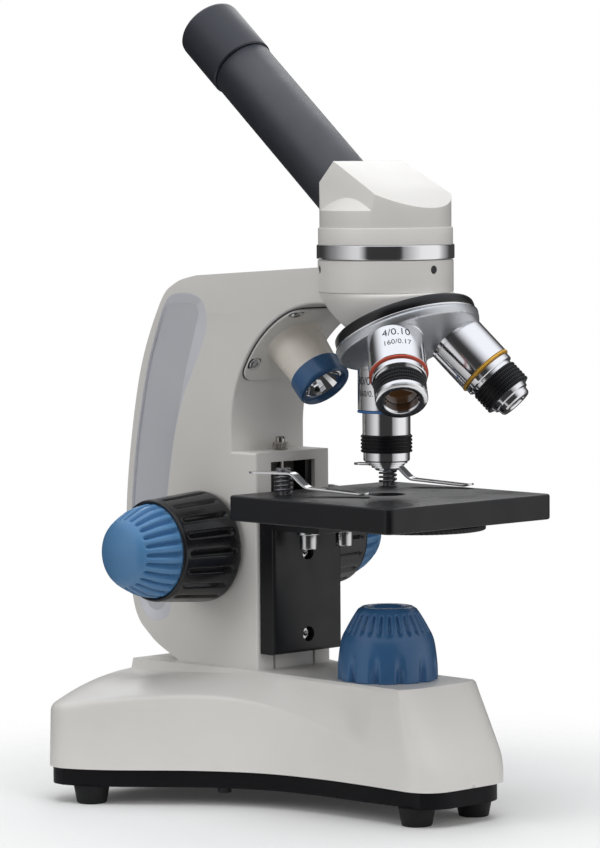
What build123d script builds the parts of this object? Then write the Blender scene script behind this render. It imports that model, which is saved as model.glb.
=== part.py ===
from build123d import *
import math
import os

# Student compound microscope with a top lamp and a bottom lamp.
# Millimetres and degrees. The optical axis is the line X = 0, Y = 0 until the parts are exported.
# X runs forward from the arm to the stage, Y across to the far knob, Z up from the bench.

# Clearances
RUN_GAP = 0.05
SEAT_GAP = 0.1
SLIDE_GAP = 0.2
PANEL_GAP = 0.3
CUT_OVER = 1.0

# Base casting and bottom plate
FOOT_HEIGHT = 7.5
FOOT_BOTTOM_R = 6.0
FOOT_TOP_R = 7.4
FOOT_FRONT = (32.0, 16.0)
FOOT_REAR = (-101.0, 70.0)
PLATE_THICK = 7.0
PLATE_INSET = 1.4
SHELL_WALL = 3.0
DECK_Z = 53.5
REAR_X = -122.0
REAR_CORNER_R = 12.0
NOSE_X = 47.0
NOSE_TOP_X = 31.0
NOSE_HALF = 25.0
NOSE_CORNER_R = 15.0
WING_DRAFT = 1.2
STEP_RUN = 1.0
# Form of the base: distance along X, half width at the bottom, crease height, half width of the deck,
# drop at the deck's edge, and swell of the wing top as a share of its width, hollow where it is negative
BASE_STATIONS = (
    (REAR_X - CUT_OVER, 81.0, 38.5, 29.0, 4.0, 0.055),
    (-108.0, 81.0, 40.0, 28.0, 4.0, 0.055),
    (-90.0, 71.0, 43.0, 26.0, 3.2, 0.045),
    (-64.0, 48.0, 45.0, 23.0, 1.6, 0.02),
    (-40.0, 33.5, 42.5, 21.5, 1.0, -0.05),
    (-15.0, 27.2, 36.5, 21.0, 1.0, -0.05),
    (10.0, NOSE_HALF, 30.0, 21.0, 1.0, -0.01),
    (NOSE_X + CUT_OVER, NOSE_HALF, 30.0, 21.0, 1.0, -0.01),
)
SCREW_R = 1.5
SCREW_HEAD_R = 2.8
SCREW_HEAD = 2.4
SCREW_REACH = 6.0
BOSS_R = 4.5
PLATE_SCREWS = ((-58.0, 36.0), (-108.0, 50.0))

# Battery bay in the bottom plate and the rocker switch on the rear wall
BATTERY_R = 7.1
BATTERY_LENGTH = 50.0
BATTERY_COUNT = 3
BAY_X = -83.0
BAY_WALL = 1.6
DOOR_THICK = 2.2
DOOR_LIP = 2.5
DOOR_TRAVEL = 8.0
SWITCH_Y = 42.0
SWITCH_Z = 29.0
SWITCH_WIDTH = 14.0
SWITCH_R = 8.0
SWITCH_PROUD = 2.5
SWITCH_PIVOT_R = 1.5
SWITCH_PIVOT_DEPTH = 4.0

# Arm casting
ARM_WIDTH = 41.0
ARM_FRONT_X = -54.5
ARM_FOOT_X = -103.0
ARM_TOP_X = -100.0
ARM_TOP_REAR_Z = 213.0
ARM_TOP_FRONT_Z = 219.0
ARM_EDGE_R = 3.0
ARM_BOLT_Y = 12.0
SHELF_Z = 142.0
ARCH_R = 52.5
ARCH_X = -17.0
ARCH_DROP = 4.5
SOCKET_R = 27.0
SOCKET_LOW_Z = 208.0
SOCKET_TOP_Z = 221.0
SPIGOT_R = 20.0
SPIGOT_DEPTH = 9.0
LIGHT_R = 6.0
# Back of the arm from the rounded top corner down to the deck
ARM_BACK = ((-113.0, 201.0), (-126.5, 169.0), (-135.0, 115.0), (-131.0, 76.0), (-120.0, 62.0))
ARM_BACK_START = (-1.0, -0.6)
ARM_BACK_END = (1.0, -0.4)
# Crescent panel on each side of the arm: rear edge upwards, then front edge downwards
PANEL_REAR = ((-117.5, 70.5), (-127.0, 84.0), (-129.8, 120.0), (-121.5, 164.0), (-108.0, 201.0))
PANEL_FRONT = ((-88.0, 202.0), (-84.5, 191.5), (-97.0, 163.5), (-106.5, 130.0), (-107.5, 95.0), (-107, 76.0))
PANEL_DEPTH = 1.5
PANEL_SINK = 0.6
SET_SCREW_R = 1.6
SET_SCREW_Z = 217.2
SET_SCREW_COUNT = 3

# Focus drive inside the arm
DRIVE_X = -84.0
DRIVE_Z = 102.6
CHANNEL_WIDTH = 24.6
CHANNEL_TOP_Z = 138.0
CHANNEL_LOW_Z = 60.0
GEAR_MODULE = 0.7
GEAR_TEETH = 16
GEAR_WIDTH = 9.0
GEAR_BACKLASH = 0.2
PRESSURE_ANGLE = 20.0
COARSE_SHAFT_R = 4.0
FINE_SHAFT_R = 2.0
BUSH_R = 6.5
RAIL_WIDTH = 3.5
RAIL_DEPTH = 7.0
RAIL_SETBACK = 2.0
FLANGE_DEPTH = 5.0
CARRIAGE_LOW_Z = 67.0
CARRIAGE_TOP_Z = 121.5
COARSE_INNER_R = 22.8
COARSE_OUTER_R = 20.9
COARSE_GAP = 1.3
COARSE_LENGTH = 29.7
COARSE_LIP = 2.4
COARSE_WALL = 4.5
COARSE_GROOVE_COUNT = 18
GROOVE_WIDTH = 1.5
GROOVE_DEPTH = 0.9
FINE_R = 19.2
FINE_LENGTH = 21.6
FINE_FLUTE_COUNT = 24
FLUTE_R = 1.3
HUB_WALL = 4.0

# Stop screw on the arm's shelf
STOP_R = 1.5
STOP_HEAD_R = 3.2
STOP_HEAD = 5.6
STOP_REACH = 7.0

# Stage and its bracket
STAGE_SIZE = 92.0
STAGE_REAR_X = -44.3
STAGE_THICK = 10.1
STAGE_TOP_Z = 127.3
STAGE_CORNER_R = 3.5
APERTURE_R = 7.0
BRACKET_WIDTH = 38.0
BRACKET_THICK = 8.4
BRACKET_LOW_Z = 60.2
SHELF_THICK = 6.0
SHELF_FRONT_X = -20.0
STAGE_BOLT = (-35.0, 10.0)
STAGE_BOLT_R = 2.0
STAGE_BOLT_HEAD_R = 3.5
STAGE_BOLT_HEAD = 6.5
WASHER_R = 4.75
WASHER_THICK = 1.0
BRACKET_SCREWS_Z = (101.0, 67.5)
BRACKET_SCREW_R = 2.6
DISC_X = 18.0
DISC_R = 26.5
DISC_THICK = 2.0
DISC_DROP = 0.6
DISC_HOLES_R = (7.0, 5.5, 4.2, 3.0, 2.0, 1.2)
DISC_PIVOT_R = 2.0
DISC_HEAD_R = 4.0

# Stage clips
POST_SETBACK = 15.3
POST_INSET = 16.7
POST_R = 2.0
POST_HEAD_R = 3.0
POST_HEAD = 1.2
CLIP_TURN = 24.4
CLIP_WIDTH = 6.5
CLIP_THICK = 0.8
CLIP_RISE = 9.2
CLIP_TAIL = 14.6
CLIP_BEND = 4.5
CLIP_FOOT = 10.5
CLIP_FOOT_RISE = 3.4
CLIP_REACH = 37.0
CLIP_TIP_RISE = 1.2
SPRING_WIRE_R = 0.5
SPRING_R = 3.3
SPRING_TURN_COUNT = 4

# Nosepiece turret: its axis leans forward from the point where all objective axes cross
APEX_Z = 219.4
TURRET_TILT = 25.8
TURRET_TWIST = -5.2
TURRET_TOP = 25.5
GRIP_RING_R = 28.6
GRIP_RING_THICK = 5.0
GRIP_RING_WALL = 3.6
TURRET_R = 29.3
TURRET_SIDE = 3.5
TURRET_CORE_R = 8.0
PIVOT_R = 2.5
PIVOT_NUT_R = 4.5
PIVOT_NUT = 2.0
MOUNT_LOW_R = 19.0
MOUNT_MIDDLE_R = 24.4
OBJECTIVE_STEP = 120.0
BOSS_FLANGE_R = 12.3
# Objectives, measured along their own axis from the crossing point
SHOULDER_AT = 39.5
BARREL_R = 11.4
BARREL_END = 58.2
BAND_WIDTH = 1.4
BAND_R = 11.6
NECK_R = 9.6
GRIP_R = 10.3
BORE_R = 6.4
FRONT_RIM = 3.0
LOW_GRIP = (63.0, 70.0)
LOW_END = 72.5
MID_GRIP = (63.5, 72.5)
MID_END = 77.0
MID_NOSE_R = 6.6
HIGH_GRIP = (68.0, 75.2)
HIGH_COLLAR = 78.8
HIGH_END = 82.4
HIGH_NOSE_R = 9.3
HIGH_TIP_R = 4.6
TIP_WALL = 3.0
HIGH_STEM_R = 5.0
NOSE_TRAVEL = 1.5
NOSE_OVERLAP = 1.2
LENS_THICK = 1.2

# Head and eyepiece
HEAD_RING_R = 27.4
HEAD_RING_TOP_Z = 227.0
HEAD_R = 26.8
HEAD_GROOVE_Z = 233.7
HEAD_GROOVE = 0.5
HEAD_SHOULDER_Z = 240.5
HEAD_FACET_HALF = 19.0
HEAD_FACET_LEAN = 8.5
RIDGE_X = -9.8
RIDGE_Z = 260.0
ROOF_SLOPE = 27.2
HEAD_WALL = 3.0
PRISM_SIZE = 18.0
FOLD_Z = 229.7
EYE_TILT = 50.4
TUBE_R = 12.95
TUBE_BORE_R = 11.65
TUBE_START = 21.0
TUBE_END = 107.4
EYE_BARREL_WALL = 1.2
EYE_BARREL_DEPTH = 30.0
EYE_CAP_R = 13.6
EYE_CAP_LENGTH = 27.0
EYE_CAP_EDGE = 1.2
EYE_HOLE_R = 7.0
EYE_LENS_THICK = 3.0
EYE_LENS_SEAT = 3.0

# Top lamp in the arch of the arm, aimed along the arch's radius
LAMP_ANGLE = 135.0
LAMP_PLATE_THICK = 2.2
LAMP_PLATE_WIDTH = 38.0
LAMP_PLATE_FROM = 106.0
LAMP_PLATE_TO = 157.0
LAMP_SCREW_ANGLES = (111.0, 148.0)
LAMP_SCREW_Y = 15.6
LAMP_SCREW_HEAD = 1.2
LAMP_TUBE_R = 10.4
LAMP_WALL = 1.8
LAMP_FRONT = 25.2
BEZEL_LENGTH = 8.6
FUNNEL_NECK = 3.0
BEZEL_R = 11.4
LED_R = 2.5

# Bottom lamp on the deck, below the stage
CAP_R = 20.1
CAP_WAIST_R = 18.6
CAP_WAIST = 15.5
CAP_SHOULDER_R = 13.6
CAP_SHOULDER = 25.3
CAP_TOP_R = 11.0
CAP_HEIGHT = 29.0
CAP_HOLE_R = 5.8
CAP_WALL = 2.4
CAP_FLUTE_COUNT = 12
CAP_GROOVE_COUNT = 26
CAP_FLUTE_R = 2.0
CAP_GROOVE_R = 0.8
BOARD_THICK = 1.6

# Derived levels
PLATE_TOP_Z = FOOT_HEIGHT + PLATE_THICK
ARM_HALF = ARM_WIDTH / 2
ARCH_TOP_Z = SOCKET_LOW_Z - ARCH_DROP
ARCH_Z = ARCH_TOP_Z - ARCH_R
ARCH_BACK_X = ARCH_X - ARCH_R
STOP_X = (ARM_FRONT_X + ARCH_BACK_X) / 2
STAGE_LOW_Z = STAGE_TOP_Z - STAGE_THICK
STAGE_X = STAGE_REAR_X + STAGE_SIZE / 2
POST_X = STAGE_REAR_X + POST_SETBACK
POST_Y = STAGE_SIZE / 2 - POST_INSET
PITCH_R = GEAR_MODULE * GEAR_TEETH / 2
RACK_X = DRIVE_X + PITCH_R
RAIL_FRONT_X = ARM_FRONT_X - RAIL_SETBACK
RAIL_BACK_X = RAIL_FRONT_X - RAIL_DEPTH
CARRIAGE_BACK_X = RAIL_BACK_X - SLIDE_GAP - FLANGE_DEPTH
CHANNEL_BACK_X = DRIVE_X - PITCH_R - 2 * GEAR_MODULE
BRACKET_BACK_X = ARM_FRONT_X + PANEL_GAP
BRACKET_FRONT_X = BRACKET_BACK_X + BRACKET_THICK
COARSE_START = ARM_HALF + COARSE_GAP
COARSE_END = COARSE_START + COARSE_LENGTH
FINE_START = COARSE_END - COARSE_LIP + PANEL_GAP
FINE_END = FINE_START + FINE_LENGTH
BAY_HALF_X = BATTERY_LENGTH / 2 + BAY_WALL + PANEL_GAP
BAY_HALF_Y = BATTERY_COUNT * (BATTERY_R + PANEL_GAP) + BAY_WALL
CLIP_Z = STAGE_TOP_Z + CLIP_RISE
LENGTHWISE = (Align.CENTER, Align.CENTER, Align.MIN)


def rod(radius, low, high):
    """Upright cylinder between two heights."""
    return Pos(0, 0, low) * Cylinder(radius, high - low, align=LENGTHWISE)


def tube(outer, inner, low, high):
    """Upright cylinder with a bore through it."""
    return rod(outer, low, high) - rod(inner, low - CUT_OVER, high + CUT_OVER)


def block(x0, x1, y0, y1, z0, z1):
    """Box between two corners."""
    centre = Pos((x0 + x1) / 2, (y0 + y1) / 2, (z0 + z1) / 2)
    return centre * Box(x1 - x0, y1 - y0, z1 - z0)


def turned(corners):
    """Solid of revolution about Z through (radius, height) corners."""
    return revolve(make_face(Plane.XZ * Polyline(*corners, close=True)), Axis.Z)


def side_face(*edges):
    """Face in the XZ plane from edges drawn as (x, z)."""
    return make_face([Plane.XZ * edge for edge in edges])


def slab(face, half_width):
    """Face in the XZ plane given a width, half of it to each side of the middle."""
    return extrude(Pos(0, half_width, 0) * face, amount=2 * half_width, dir=(0, -1, 0))


def around(count, tool, start=0.0):
    """Copies of a tool spaced evenly about Z."""
    return [Rot(0, 0, start + index * 360 / count) * tool for index in range(count)]


def both_sides(shape):
    """A shape and its mirror image across the middle plane, as separate solids."""
    return Compound([shape, mirror(shape, Plane.XZ)])


def base_section(x, half_width, crease_z, deck_half, drop, swell, inset, low_z):
    """Cross-section of the base: upright wall, crease, wing top, stepped edge and flat deck."""
    wall = half_width - inset
    crease = wall - WING_DRAFT * (crease_z - PLATE_TOP_Z) / (DECK_Z - PLATE_TOP_Z)
    crease_top = crease_z - inset
    deck = deck_half - inset
    deck_top = DECK_Z - inset
    edge = deck + STEP_RUN
    edge_top = deck_top - drop
    middle = ((crease + edge) / 2 + swell * (edge_top - crease_top),
              (crease_top + edge_top) / 2 + swell * (crease - edge))
    plane = Plane(origin=(x, 0, 0), x_dir=(0, 1, 0), z_dir=(1, 0, 0))
    edges = [
        Line((-wall, low_z), (wall, low_z)),
        Line((wall, low_z), (crease, crease_top)),
        ThreePointArc((crease, crease_top), middle, (edge, edge_top)),
        Line((edge, edge_top), (deck, deck_top)),
        Line((deck, deck_top), (-deck, deck_top)),
        Line((-deck, deck_top), (-edge, edge_top)),
        ThreePointArc((-edge, edge_top), (-middle[0], middle[1]), (-crease, crease_top)),
        Line((-crease, crease_top), (-wall, low_z)),
    ]
    return plane * make_face(edges)


def base_trim(inset, low_z, high_z):
    """Plan that rounds the rear corners and slopes and rounds the nose."""
    widest = max(station[1] for station in BASE_STATIONS) - inset
    length = NOSE_X - REAR_X
    rear = Pos(REAR_X + inset + length, 0, low_z) * extrude(
        RectangleRounded(2 * length, 2 * widest, REAR_CORNER_R - inset), amount=high_z - low_z)
    slope = (NOSE_X - NOSE_TOP_X) / (DECK_Z - PLATE_TOP_Z)
    outlines = []
    for z in (low_z, high_z):
        front = NOSE_X - inset - slope * max(0.0, z - PLATE_TOP_Z)
        half = NOSE_HALF + PANEL_GAP - inset
        outline = RectangleRounded(front - REAR_X, 2 * half, NOSE_CORNER_R - inset / 2)
        outlines.append(Pos((front + REAR_X) / 2, 0, z) * outline)
    nose = loft(outlines, ruled=True)
    tip_start = BASE_STATIONS[-2][0]
    ahead = block(tip_start, NOSE_X + 2 * NOSE_HALF, -2 * widest, 2 * widest, low_z, high_z)
    return rear - (ahead - nose)


def base_solid(inset, low_z):
    """Body of the base drawn in by one wall thickness, down to a chosen level."""
    sections = [base_section(*station, inset, low_z) for station in BASE_STATIONS]
    return loft(sections) & base_trim(inset, low_z, DECK_Z + CUT_OVER)


def switch_place():
    """Pivot line of the rocker, across the rear wall."""
    return Pos(REAR_X + SWITCH_PIVOT_DEPTH, SWITCH_Y, SWITCH_Z) * Rot(90, 0, 0)


def base_shell():
    """Hollow cast base with screw bosses, arm bolt holes and the switch window."""
    hollow = base_solid(SHELL_WALL, PLATE_TOP_Z - CUT_OVER)
    hollow -= at_plate_screws(rod(BOSS_R, 0, DECK_Z))
    shell = base_solid(0.0, PLATE_TOP_Z) - hollow
    shell -= at_plate_screws(rod(SCREW_R + SEAT_GAP, 0, PLATE_TOP_Z + SCREW_REACH + CUT_OVER))
    shell -= at_arm_bolts(rod(SCREW_R + SEAT_GAP, PLATE_TOP_Z, DECK_Z + CUT_OVER))
    window = Cylinder(SWITCH_R + PANEL_GAP, SWITCH_WIDTH + 2 * PANEL_GAP)
    return shell - switch_place() * window


def at_plate_screws(shape):
    """Copies of an upright piece at the four plate screws."""
    return [Pos(x, side * y, 0) * shape for x, y in PLATE_SCREWS for side in (-1, 1)]


def at_arm_bolts(shape):
    """Copies of an upright piece at the two bolts between the deck and the arm."""
    x = (ARM_FOOT_X + CHANNEL_BACK_X) / 2
    return [Pos(x, side * ARM_BOLT_Y, 0) * shape for side in (-1, 1)]


def bottom_plate():
    """Black tray that closes the base, with the battery door's runner."""
    sections = []
    for x, half_width, *_ in BASE_STATIONS:
        outline = Rectangle(2 * (half_width - PLATE_INSET), PLATE_THICK)
        plane = Plane(origin=(x, 0, FOOT_HEIGHT + PLATE_THICK / 2), x_dir=(0, 1, 0), z_dir=(1, 0, 0))
        sections.append(plane * outline)
    plate = loft(sections) & base_trim(PLATE_INSET, FOOT_HEIGHT, PLATE_TOP_Z)
    plate -= at_plate_screws(rod(SCREW_R + SEAT_GAP, 0, PLATE_TOP_Z + CUT_OVER))
    lip_z = FOOT_HEIGHT + DOOR_THICK / 2
    top_z = FOOT_HEIGHT + DOOR_THICK + SLIDE_GAP
    x0 = BAY_X - BAY_HALF_X - DOOR_TRAVEL - PANEL_GAP
    x1 = BAY_X + BAY_HALF_X + PANEL_GAP
    mouth = BAY_HALF_Y - DOOR_LIP + PANEL_GAP
    runner = BAY_HALF_Y + PANEL_GAP
    plate -= block(x0, x1, -mouth, mouth, FOOT_HEIGHT - CUT_OVER, top_z)
    plate -= block(x0, x1, -runner, runner, lip_z - SLIDE_GAP, top_z)
    hatch_x = BAY_HALF_X - BAY_WALL
    hatch_y = BAY_HALF_Y - BAY_WALL - DOOR_LIP
    hatch = block(BAY_X - hatch_x, BAY_X + hatch_x, -hatch_y, hatch_y, FOOT_HEIGHT, PLATE_TOP_Z + CUT_OVER)
    return plate - hatch


def battery_door():
    """Sliding lid held in the plate's runner by its two lips."""
    lip_z = FOOT_HEIGHT + DOOR_THICK / 2
    top_z = FOOT_HEIGHT + DOOR_THICK
    x0 = BAY_X - BAY_HALF_X
    x1 = BAY_X + BAY_HALF_X
    mouth = BAY_HALF_Y - DOOR_LIP
    door = block(x0, x1, -mouth, mouth, FOOT_HEIGHT, top_z)
    door += block(x0, x1, -BAY_HALF_Y, BAY_HALF_Y, lip_z, top_z)
    grip = block(-GROOVE_WIDTH / 2, GROOVE_WIDTH / 2, -mouth / 2, mouth / 2, FOOT_HEIGHT - CUT_OVER,
                 FOOT_HEIGHT + GROOVE_DEPTH)
    grips = [Pos(x0 + (index + 2) * 2 * GROOVE_WIDTH, 0, 0) * grip for index in range(4)]
    return door - grips


def battery_tray():
    """Open tray above the hatch that holds the cells side by side."""
    low = PLATE_TOP_Z
    high = low + 2 * BATTERY_R + BAY_WALL
    x0 = BAY_X - BAY_HALF_X
    x1 = BAY_X + BAY_HALF_X
    tray = block(x0, x1, -BAY_HALF_Y, BAY_HALF_Y, low, high)
    inner_y = BAY_HALF_Y - BAY_WALL
    return tray - block(x0 + BAY_WALL, x1 - BAY_WALL, -inner_y, inner_y, low - CUT_OVER, high - BAY_WALL)


def batteries():
    """Row of cylindrical cells with their contact buttons."""
    cells = []
    pitch = 2 * (BATTERY_R + PANEL_GAP)
    button = BATTERY_R / 3
    for index in range(BATTERY_COUNT):
        y = (index - (BATTERY_COUNT - 1) / 2) * pitch
        cell = rod(BATTERY_R, 0, BATTERY_LENGTH - button / 2)
        cell += rod(button, BATTERY_LENGTH - button, BATTERY_LENGTH)
        turn = 90 if index % 2 else -90
        start = BATTERY_LENGTH / 2 * (-1 if index % 2 else 1)
        z = PLATE_TOP_Z + BATTERY_R - PANEL_GAP
        cells.append(Pos(BAY_X + start, y, z) * Rot(0, turn, 0) * cell)
    return Compound(cells)


def power_switch():
    """Rocker whose round back turns in the window of the rear wall."""
    rocker = Cylinder(SWITCH_R, SWITCH_WIDTH)
    reach = SWITCH_PIVOT_DEPTH + SWITCH_PROUD
    depth = reach + 2 * SWITCH_PIVOT_R
    keep = Pos(-reach / 2 + SWITCH_PIVOT_R, 0, 0) * Box(depth, 2 * SWITCH_R, SWITCH_WIDTH)
    dip = Pos(-reach - SWITCH_R * 2, 0, 0) * Cylinder(SWITCH_R * 2 + SWITCH_PIVOT_R, SWITCH_WIDTH + CUT_OVER)
    return switch_place() * ((rocker & keep) - dip)


def rubber_feet():
    """Four tapered feet under the plate."""
    feet = []
    for x, y in (FOOT_FRONT, FOOT_REAR):
        for side in (-1, 1):
            foot = turned([(0, 0), (FOOT_BOTTOM_R, 0), (FOOT_TOP_R, FOOT_HEIGHT), (0, FOOT_HEIGHT)])
            feet.append(Pos(x, side * y, 0) * foot)
    return Compound(feet)


def base_screws():
    """Pan-head screws through the plate, and the bolts that hold the arm down."""
    screw = rod(SCREW_HEAD_R, FOOT_HEIGHT - SCREW_HEAD, FOOT_HEIGHT)
    screw += rod(SCREW_R, FOOT_HEIGHT, PLATE_TOP_Z + SCREW_REACH)
    screws = at_plate_screws(screw)
    under_deck = DECK_Z - SHELL_WALL
    bolt = rod(SCREW_HEAD_R, under_deck - SCREW_HEAD, under_deck)
    bolt += rod(SCREW_R, under_deck, DECK_Z + SCREW_REACH)
    return Compound(screws + at_arm_bolts(bolt))


def arm_outline():
    """Side view of the arm: guide block, shelf, round arch, top bar and curved back."""
    back = Spline((ARM_TOP_X, ARM_TOP_REAR_Z), *ARM_BACK, (ARM_FOOT_X, DECK_Z),
                  tangents=[ARM_BACK_START, ARM_BACK_END])
    mid_angle = math.radians(LAMP_ANGLE)
    arch_mid = (ARCH_X + ARCH_R * math.cos(mid_angle), ARCH_Z + ARCH_R * math.sin(mid_angle))
    return side_face(
        Line((ARM_FOOT_X, DECK_Z), (ARM_FRONT_X, DECK_Z)),
        Line((ARM_FRONT_X, DECK_Z), (ARM_FRONT_X, SHELF_Z)),
        Line((ARM_FRONT_X, SHELF_Z), (ARCH_BACK_X, SHELF_Z)),
        Line((ARCH_BACK_X, SHELF_Z), (ARCH_BACK_X, ARCH_Z)),
        ThreePointArc((ARCH_BACK_X, ARCH_Z), arch_mid, (ARCH_X, ARCH_TOP_Z)),
        Line((ARCH_X, ARCH_TOP_Z), (0, ARCH_TOP_Z)),
        Line((0, ARCH_TOP_Z), (0, ARM_TOP_FRONT_Z)),
        Line((0, ARM_TOP_FRONT_Z), (ARM_TOP_X, ARM_TOP_REAR_Z)),
        back,
    )


def panel_face():
    """Crescent outline of the side panel, drawn in the XZ plane."""
    rear = Spline(*PANEL_REAR)
    top = Line(PANEL_REAR[-1], PANEL_FRONT[0])
    front = Spline(*PANEL_FRONT, PANEL_REAR[0])
    return side_face(rear, top, front)


def panel_block(depth):
    """Crescent raised from the floor of its recess on the near side of the arm."""
    floor = Pos(0, -(ARM_HALF - PANEL_DEPTH), 0) * panel_face()
    return extrude(floor, amount=depth, dir=(0, -1, 0))


def accent_panels():
    """Grey-blue panel let into each side of the arm."""
    return both_sides(panel_block(PANEL_DEPTH - PANEL_SINK))


def drive_bore(radius, length):
    """Cylinder along the focus shaft's line."""
    return Pos(DRIVE_X, 0, DRIVE_Z) * Rot(90, 0, 0) * Cylinder(radius, length)


def lamp_screw_places():
    """Planes of the screws that hold the lamp plate, facing out of the arch's face."""
    planes = []
    for angle in LAMP_SCREW_ANGLES:
        ray = (math.cos(math.radians(angle)), math.sin(math.radians(angle)))
        for side in (-1, 1):
            origin = (ARCH_X, side * LAMP_SCREW_Y, ARCH_Z)
            planes.append(Plane(origin=origin, x_dir=(0, 1, 0), z_dir=(ray[0], 0, ray[1])))
    return planes


def arm_shell():
    """Cast arm with the focus channel, the head socket and the seats of its fittings."""
    arm = slab(arm_outline(), ARM_HALF)
    arm = fillet(arm.edges().filter_by(GeomType.BSPLINE), ARM_EDGE_R)
    arm -= rod(SOCKET_R + SEAT_GAP, ARCH_TOP_Z - CUT_OVER, SOCKET_LOW_Z)
    arm += rod(SOCKET_R, SOCKET_LOW_Z, SOCKET_TOP_Z)
    arm -= rod(SPIGOT_R + RUN_GAP, SOCKET_TOP_Z - SPIGOT_DEPTH - PANEL_GAP, SOCKET_TOP_Z + CUT_OVER)
    arm -= rod(LIGHT_R, SOCKET_LOW_Z - CUT_OVER, SOCKET_TOP_Z)
    half = CHANNEL_WIDTH / 2
    arm -= block(CHANNEL_BACK_X, ARM_FRONT_X + CUT_OVER, -half, half, CHANNEL_LOW_Z, CHANNEL_TOP_Z)
    arm -= drive_bore(BUSH_R + SEAT_GAP, ARM_WIDTH + CUT_OVER)
    arm -= Pos(STOP_X, 0, 0) * rod(STOP_R + RUN_GAP, CHANNEL_TOP_Z - CUT_OVER, SHELF_Z + CUT_OVER)
    arm -= both_sides(panel_block(PANEL_DEPTH + CUT_OVER))
    arm -= around(SET_SCREW_COUNT, set_screw(SET_SCREW_R + SEAT_GAP, CUT_OVER))
    for plane in lamp_screw_places():
        arm -= plane * rod(SCREW_R + SEAT_GAP, ARCH_R - CUT_OVER, ARCH_R + SCREW_REACH + CUT_OVER)
    return arm - at_arm_bolts(rod(SCREW_R + SEAT_GAP, 0, DECK_Z + SCREW_REACH + CUT_OVER))


def set_screw(radius, over):
    """Grub screw, or its hole, pointing at the head's spigot."""
    inner = SPIGOT_R + PANEL_GAP
    place = Pos(0, 0, SET_SCREW_Z) * Rot(0, 90, 0)
    return place * rod(radius, inner - over, SOCKET_R - PANEL_GAP + 2 * over)


def head_set_screws():
    """Three grub screws that lock the head in its socket."""
    return Compound(around(SET_SCREW_COUNT, set_screw(SET_SCREW_R, 0.0)))


def guide_rails():
    """Black strips down both sides of the channel, in front of the carriage's flange."""
    outer = CHANNEL_WIDTH / 2
    rail = block(RAIL_BACK_X, RAIL_FRONT_X, -outer, -(outer - RAIL_WIDTH), CHANNEL_LOW_Z, CHANNEL_TOP_Z)
    return both_sides(rail)


def carriage_block():
    """Sliding block: a stem between the rails and a wider flange behind them."""
    stem = CHANNEL_WIDTH / 2 - RAIL_WIDTH - SLIDE_GAP
    flange = CHANNEL_WIDTH / 2 - SLIDE_GAP
    front = ARM_FRONT_X + SEAT_GAP
    step = RAIL_BACK_X - SLIDE_GAP
    body = block(step, front, -stem, stem, CARRIAGE_LOW_Z, CARRIAGE_TOP_Z)
    return body + block(CARRIAGE_BACK_X, step, -flange, flange, CARRIAGE_LOW_Z, CARRIAGE_TOP_Z)


def rack():
    """Toothed bar on the back of the carriage, in mesh with the pinion."""
    pitch = math.pi * GEAR_MODULE
    lean = math.tan(math.radians(PRESSURE_ANGLE))
    tip_x = RACK_X - GEAR_MODULE
    root_x = RACK_X + 1.25 * GEAR_MODULE
    half = pitch / 4 - GEAR_BACKLASH / 2
    tip = half - lean * GEAR_MODULE
    root = half + lean * 1.25 * GEAR_MODULE
    above = int((CARRIAGE_TOP_Z - DRIVE_Z) / pitch)
    below = int((DRIVE_Z - CARRIAGE_LOW_Z) / pitch)
    points = [(CARRIAGE_BACK_X, CARRIAGE_LOW_Z), (root_x, CARRIAGE_LOW_Z)]
    for index in range(-below, above):
        z = DRIVE_Z + (index + 0.5) * pitch
        points += [(root_x, z - root), (tip_x, z - tip), (tip_x, z + tip), (root_x, z + root)]
    points += [(root_x, CARRIAGE_TOP_Z), (CARRIAGE_BACK_X, CARRIAGE_TOP_Z)]
    return slab(side_face(Polyline(*points, close=True)), GEAR_WIDTH / 2)


def pinion():
    """Involute spur gear on the coarse shaft, one tooth pointing at the rack."""
    base_r = PITCH_R * math.cos(math.radians(PRESSURE_ANGLE))
    root_r = PITCH_R - 1.25 * GEAR_MODULE
    tip_r = PITCH_R + GEAR_MODULE

    def involute(radius):
        angle = math.acos(min(1.0, base_r / radius))
        return math.tan(angle) - angle

    half = math.pi / (2 * GEAR_TEETH) - GEAR_BACKLASH / (2 * PITCH_R) + involute(PITCH_R)
    radii = [base_r + (tip_r - base_r) * step / 5 for step in range(6)]
    points = []
    for tooth in range(GEAR_TEETH):
        centre = 2 * math.pi * tooth / GEAR_TEETH
        flank = [(root_r, half)] + [(radius, half - involute(radius)) for radius in radii]
        for radius, angle in flank:
            points.append((radius * math.cos(centre - angle), radius * math.sin(centre - angle)))
        for radius, angle in reversed(flank):
            points.append((radius * math.cos(centre + angle), radius * math.sin(centre + angle)))
    gear = slab(side_face(Polyline(*points, close=True)), GEAR_WIDTH / 2)
    return Pos(DRIVE_X, 0, DRIVE_Z) * gear - drive_bore(COARSE_SHAFT_R + RUN_GAP, GEAR_WIDTH + CUT_OVER)


def knob_place():
    """Plane on the drive line whose height runs out of the near side of the arm."""
    return Plane(origin=(DRIVE_X, 0, DRIVE_Z), x_dir=(1, 0, 0), z_dir=(0, -1, 0))


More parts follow.
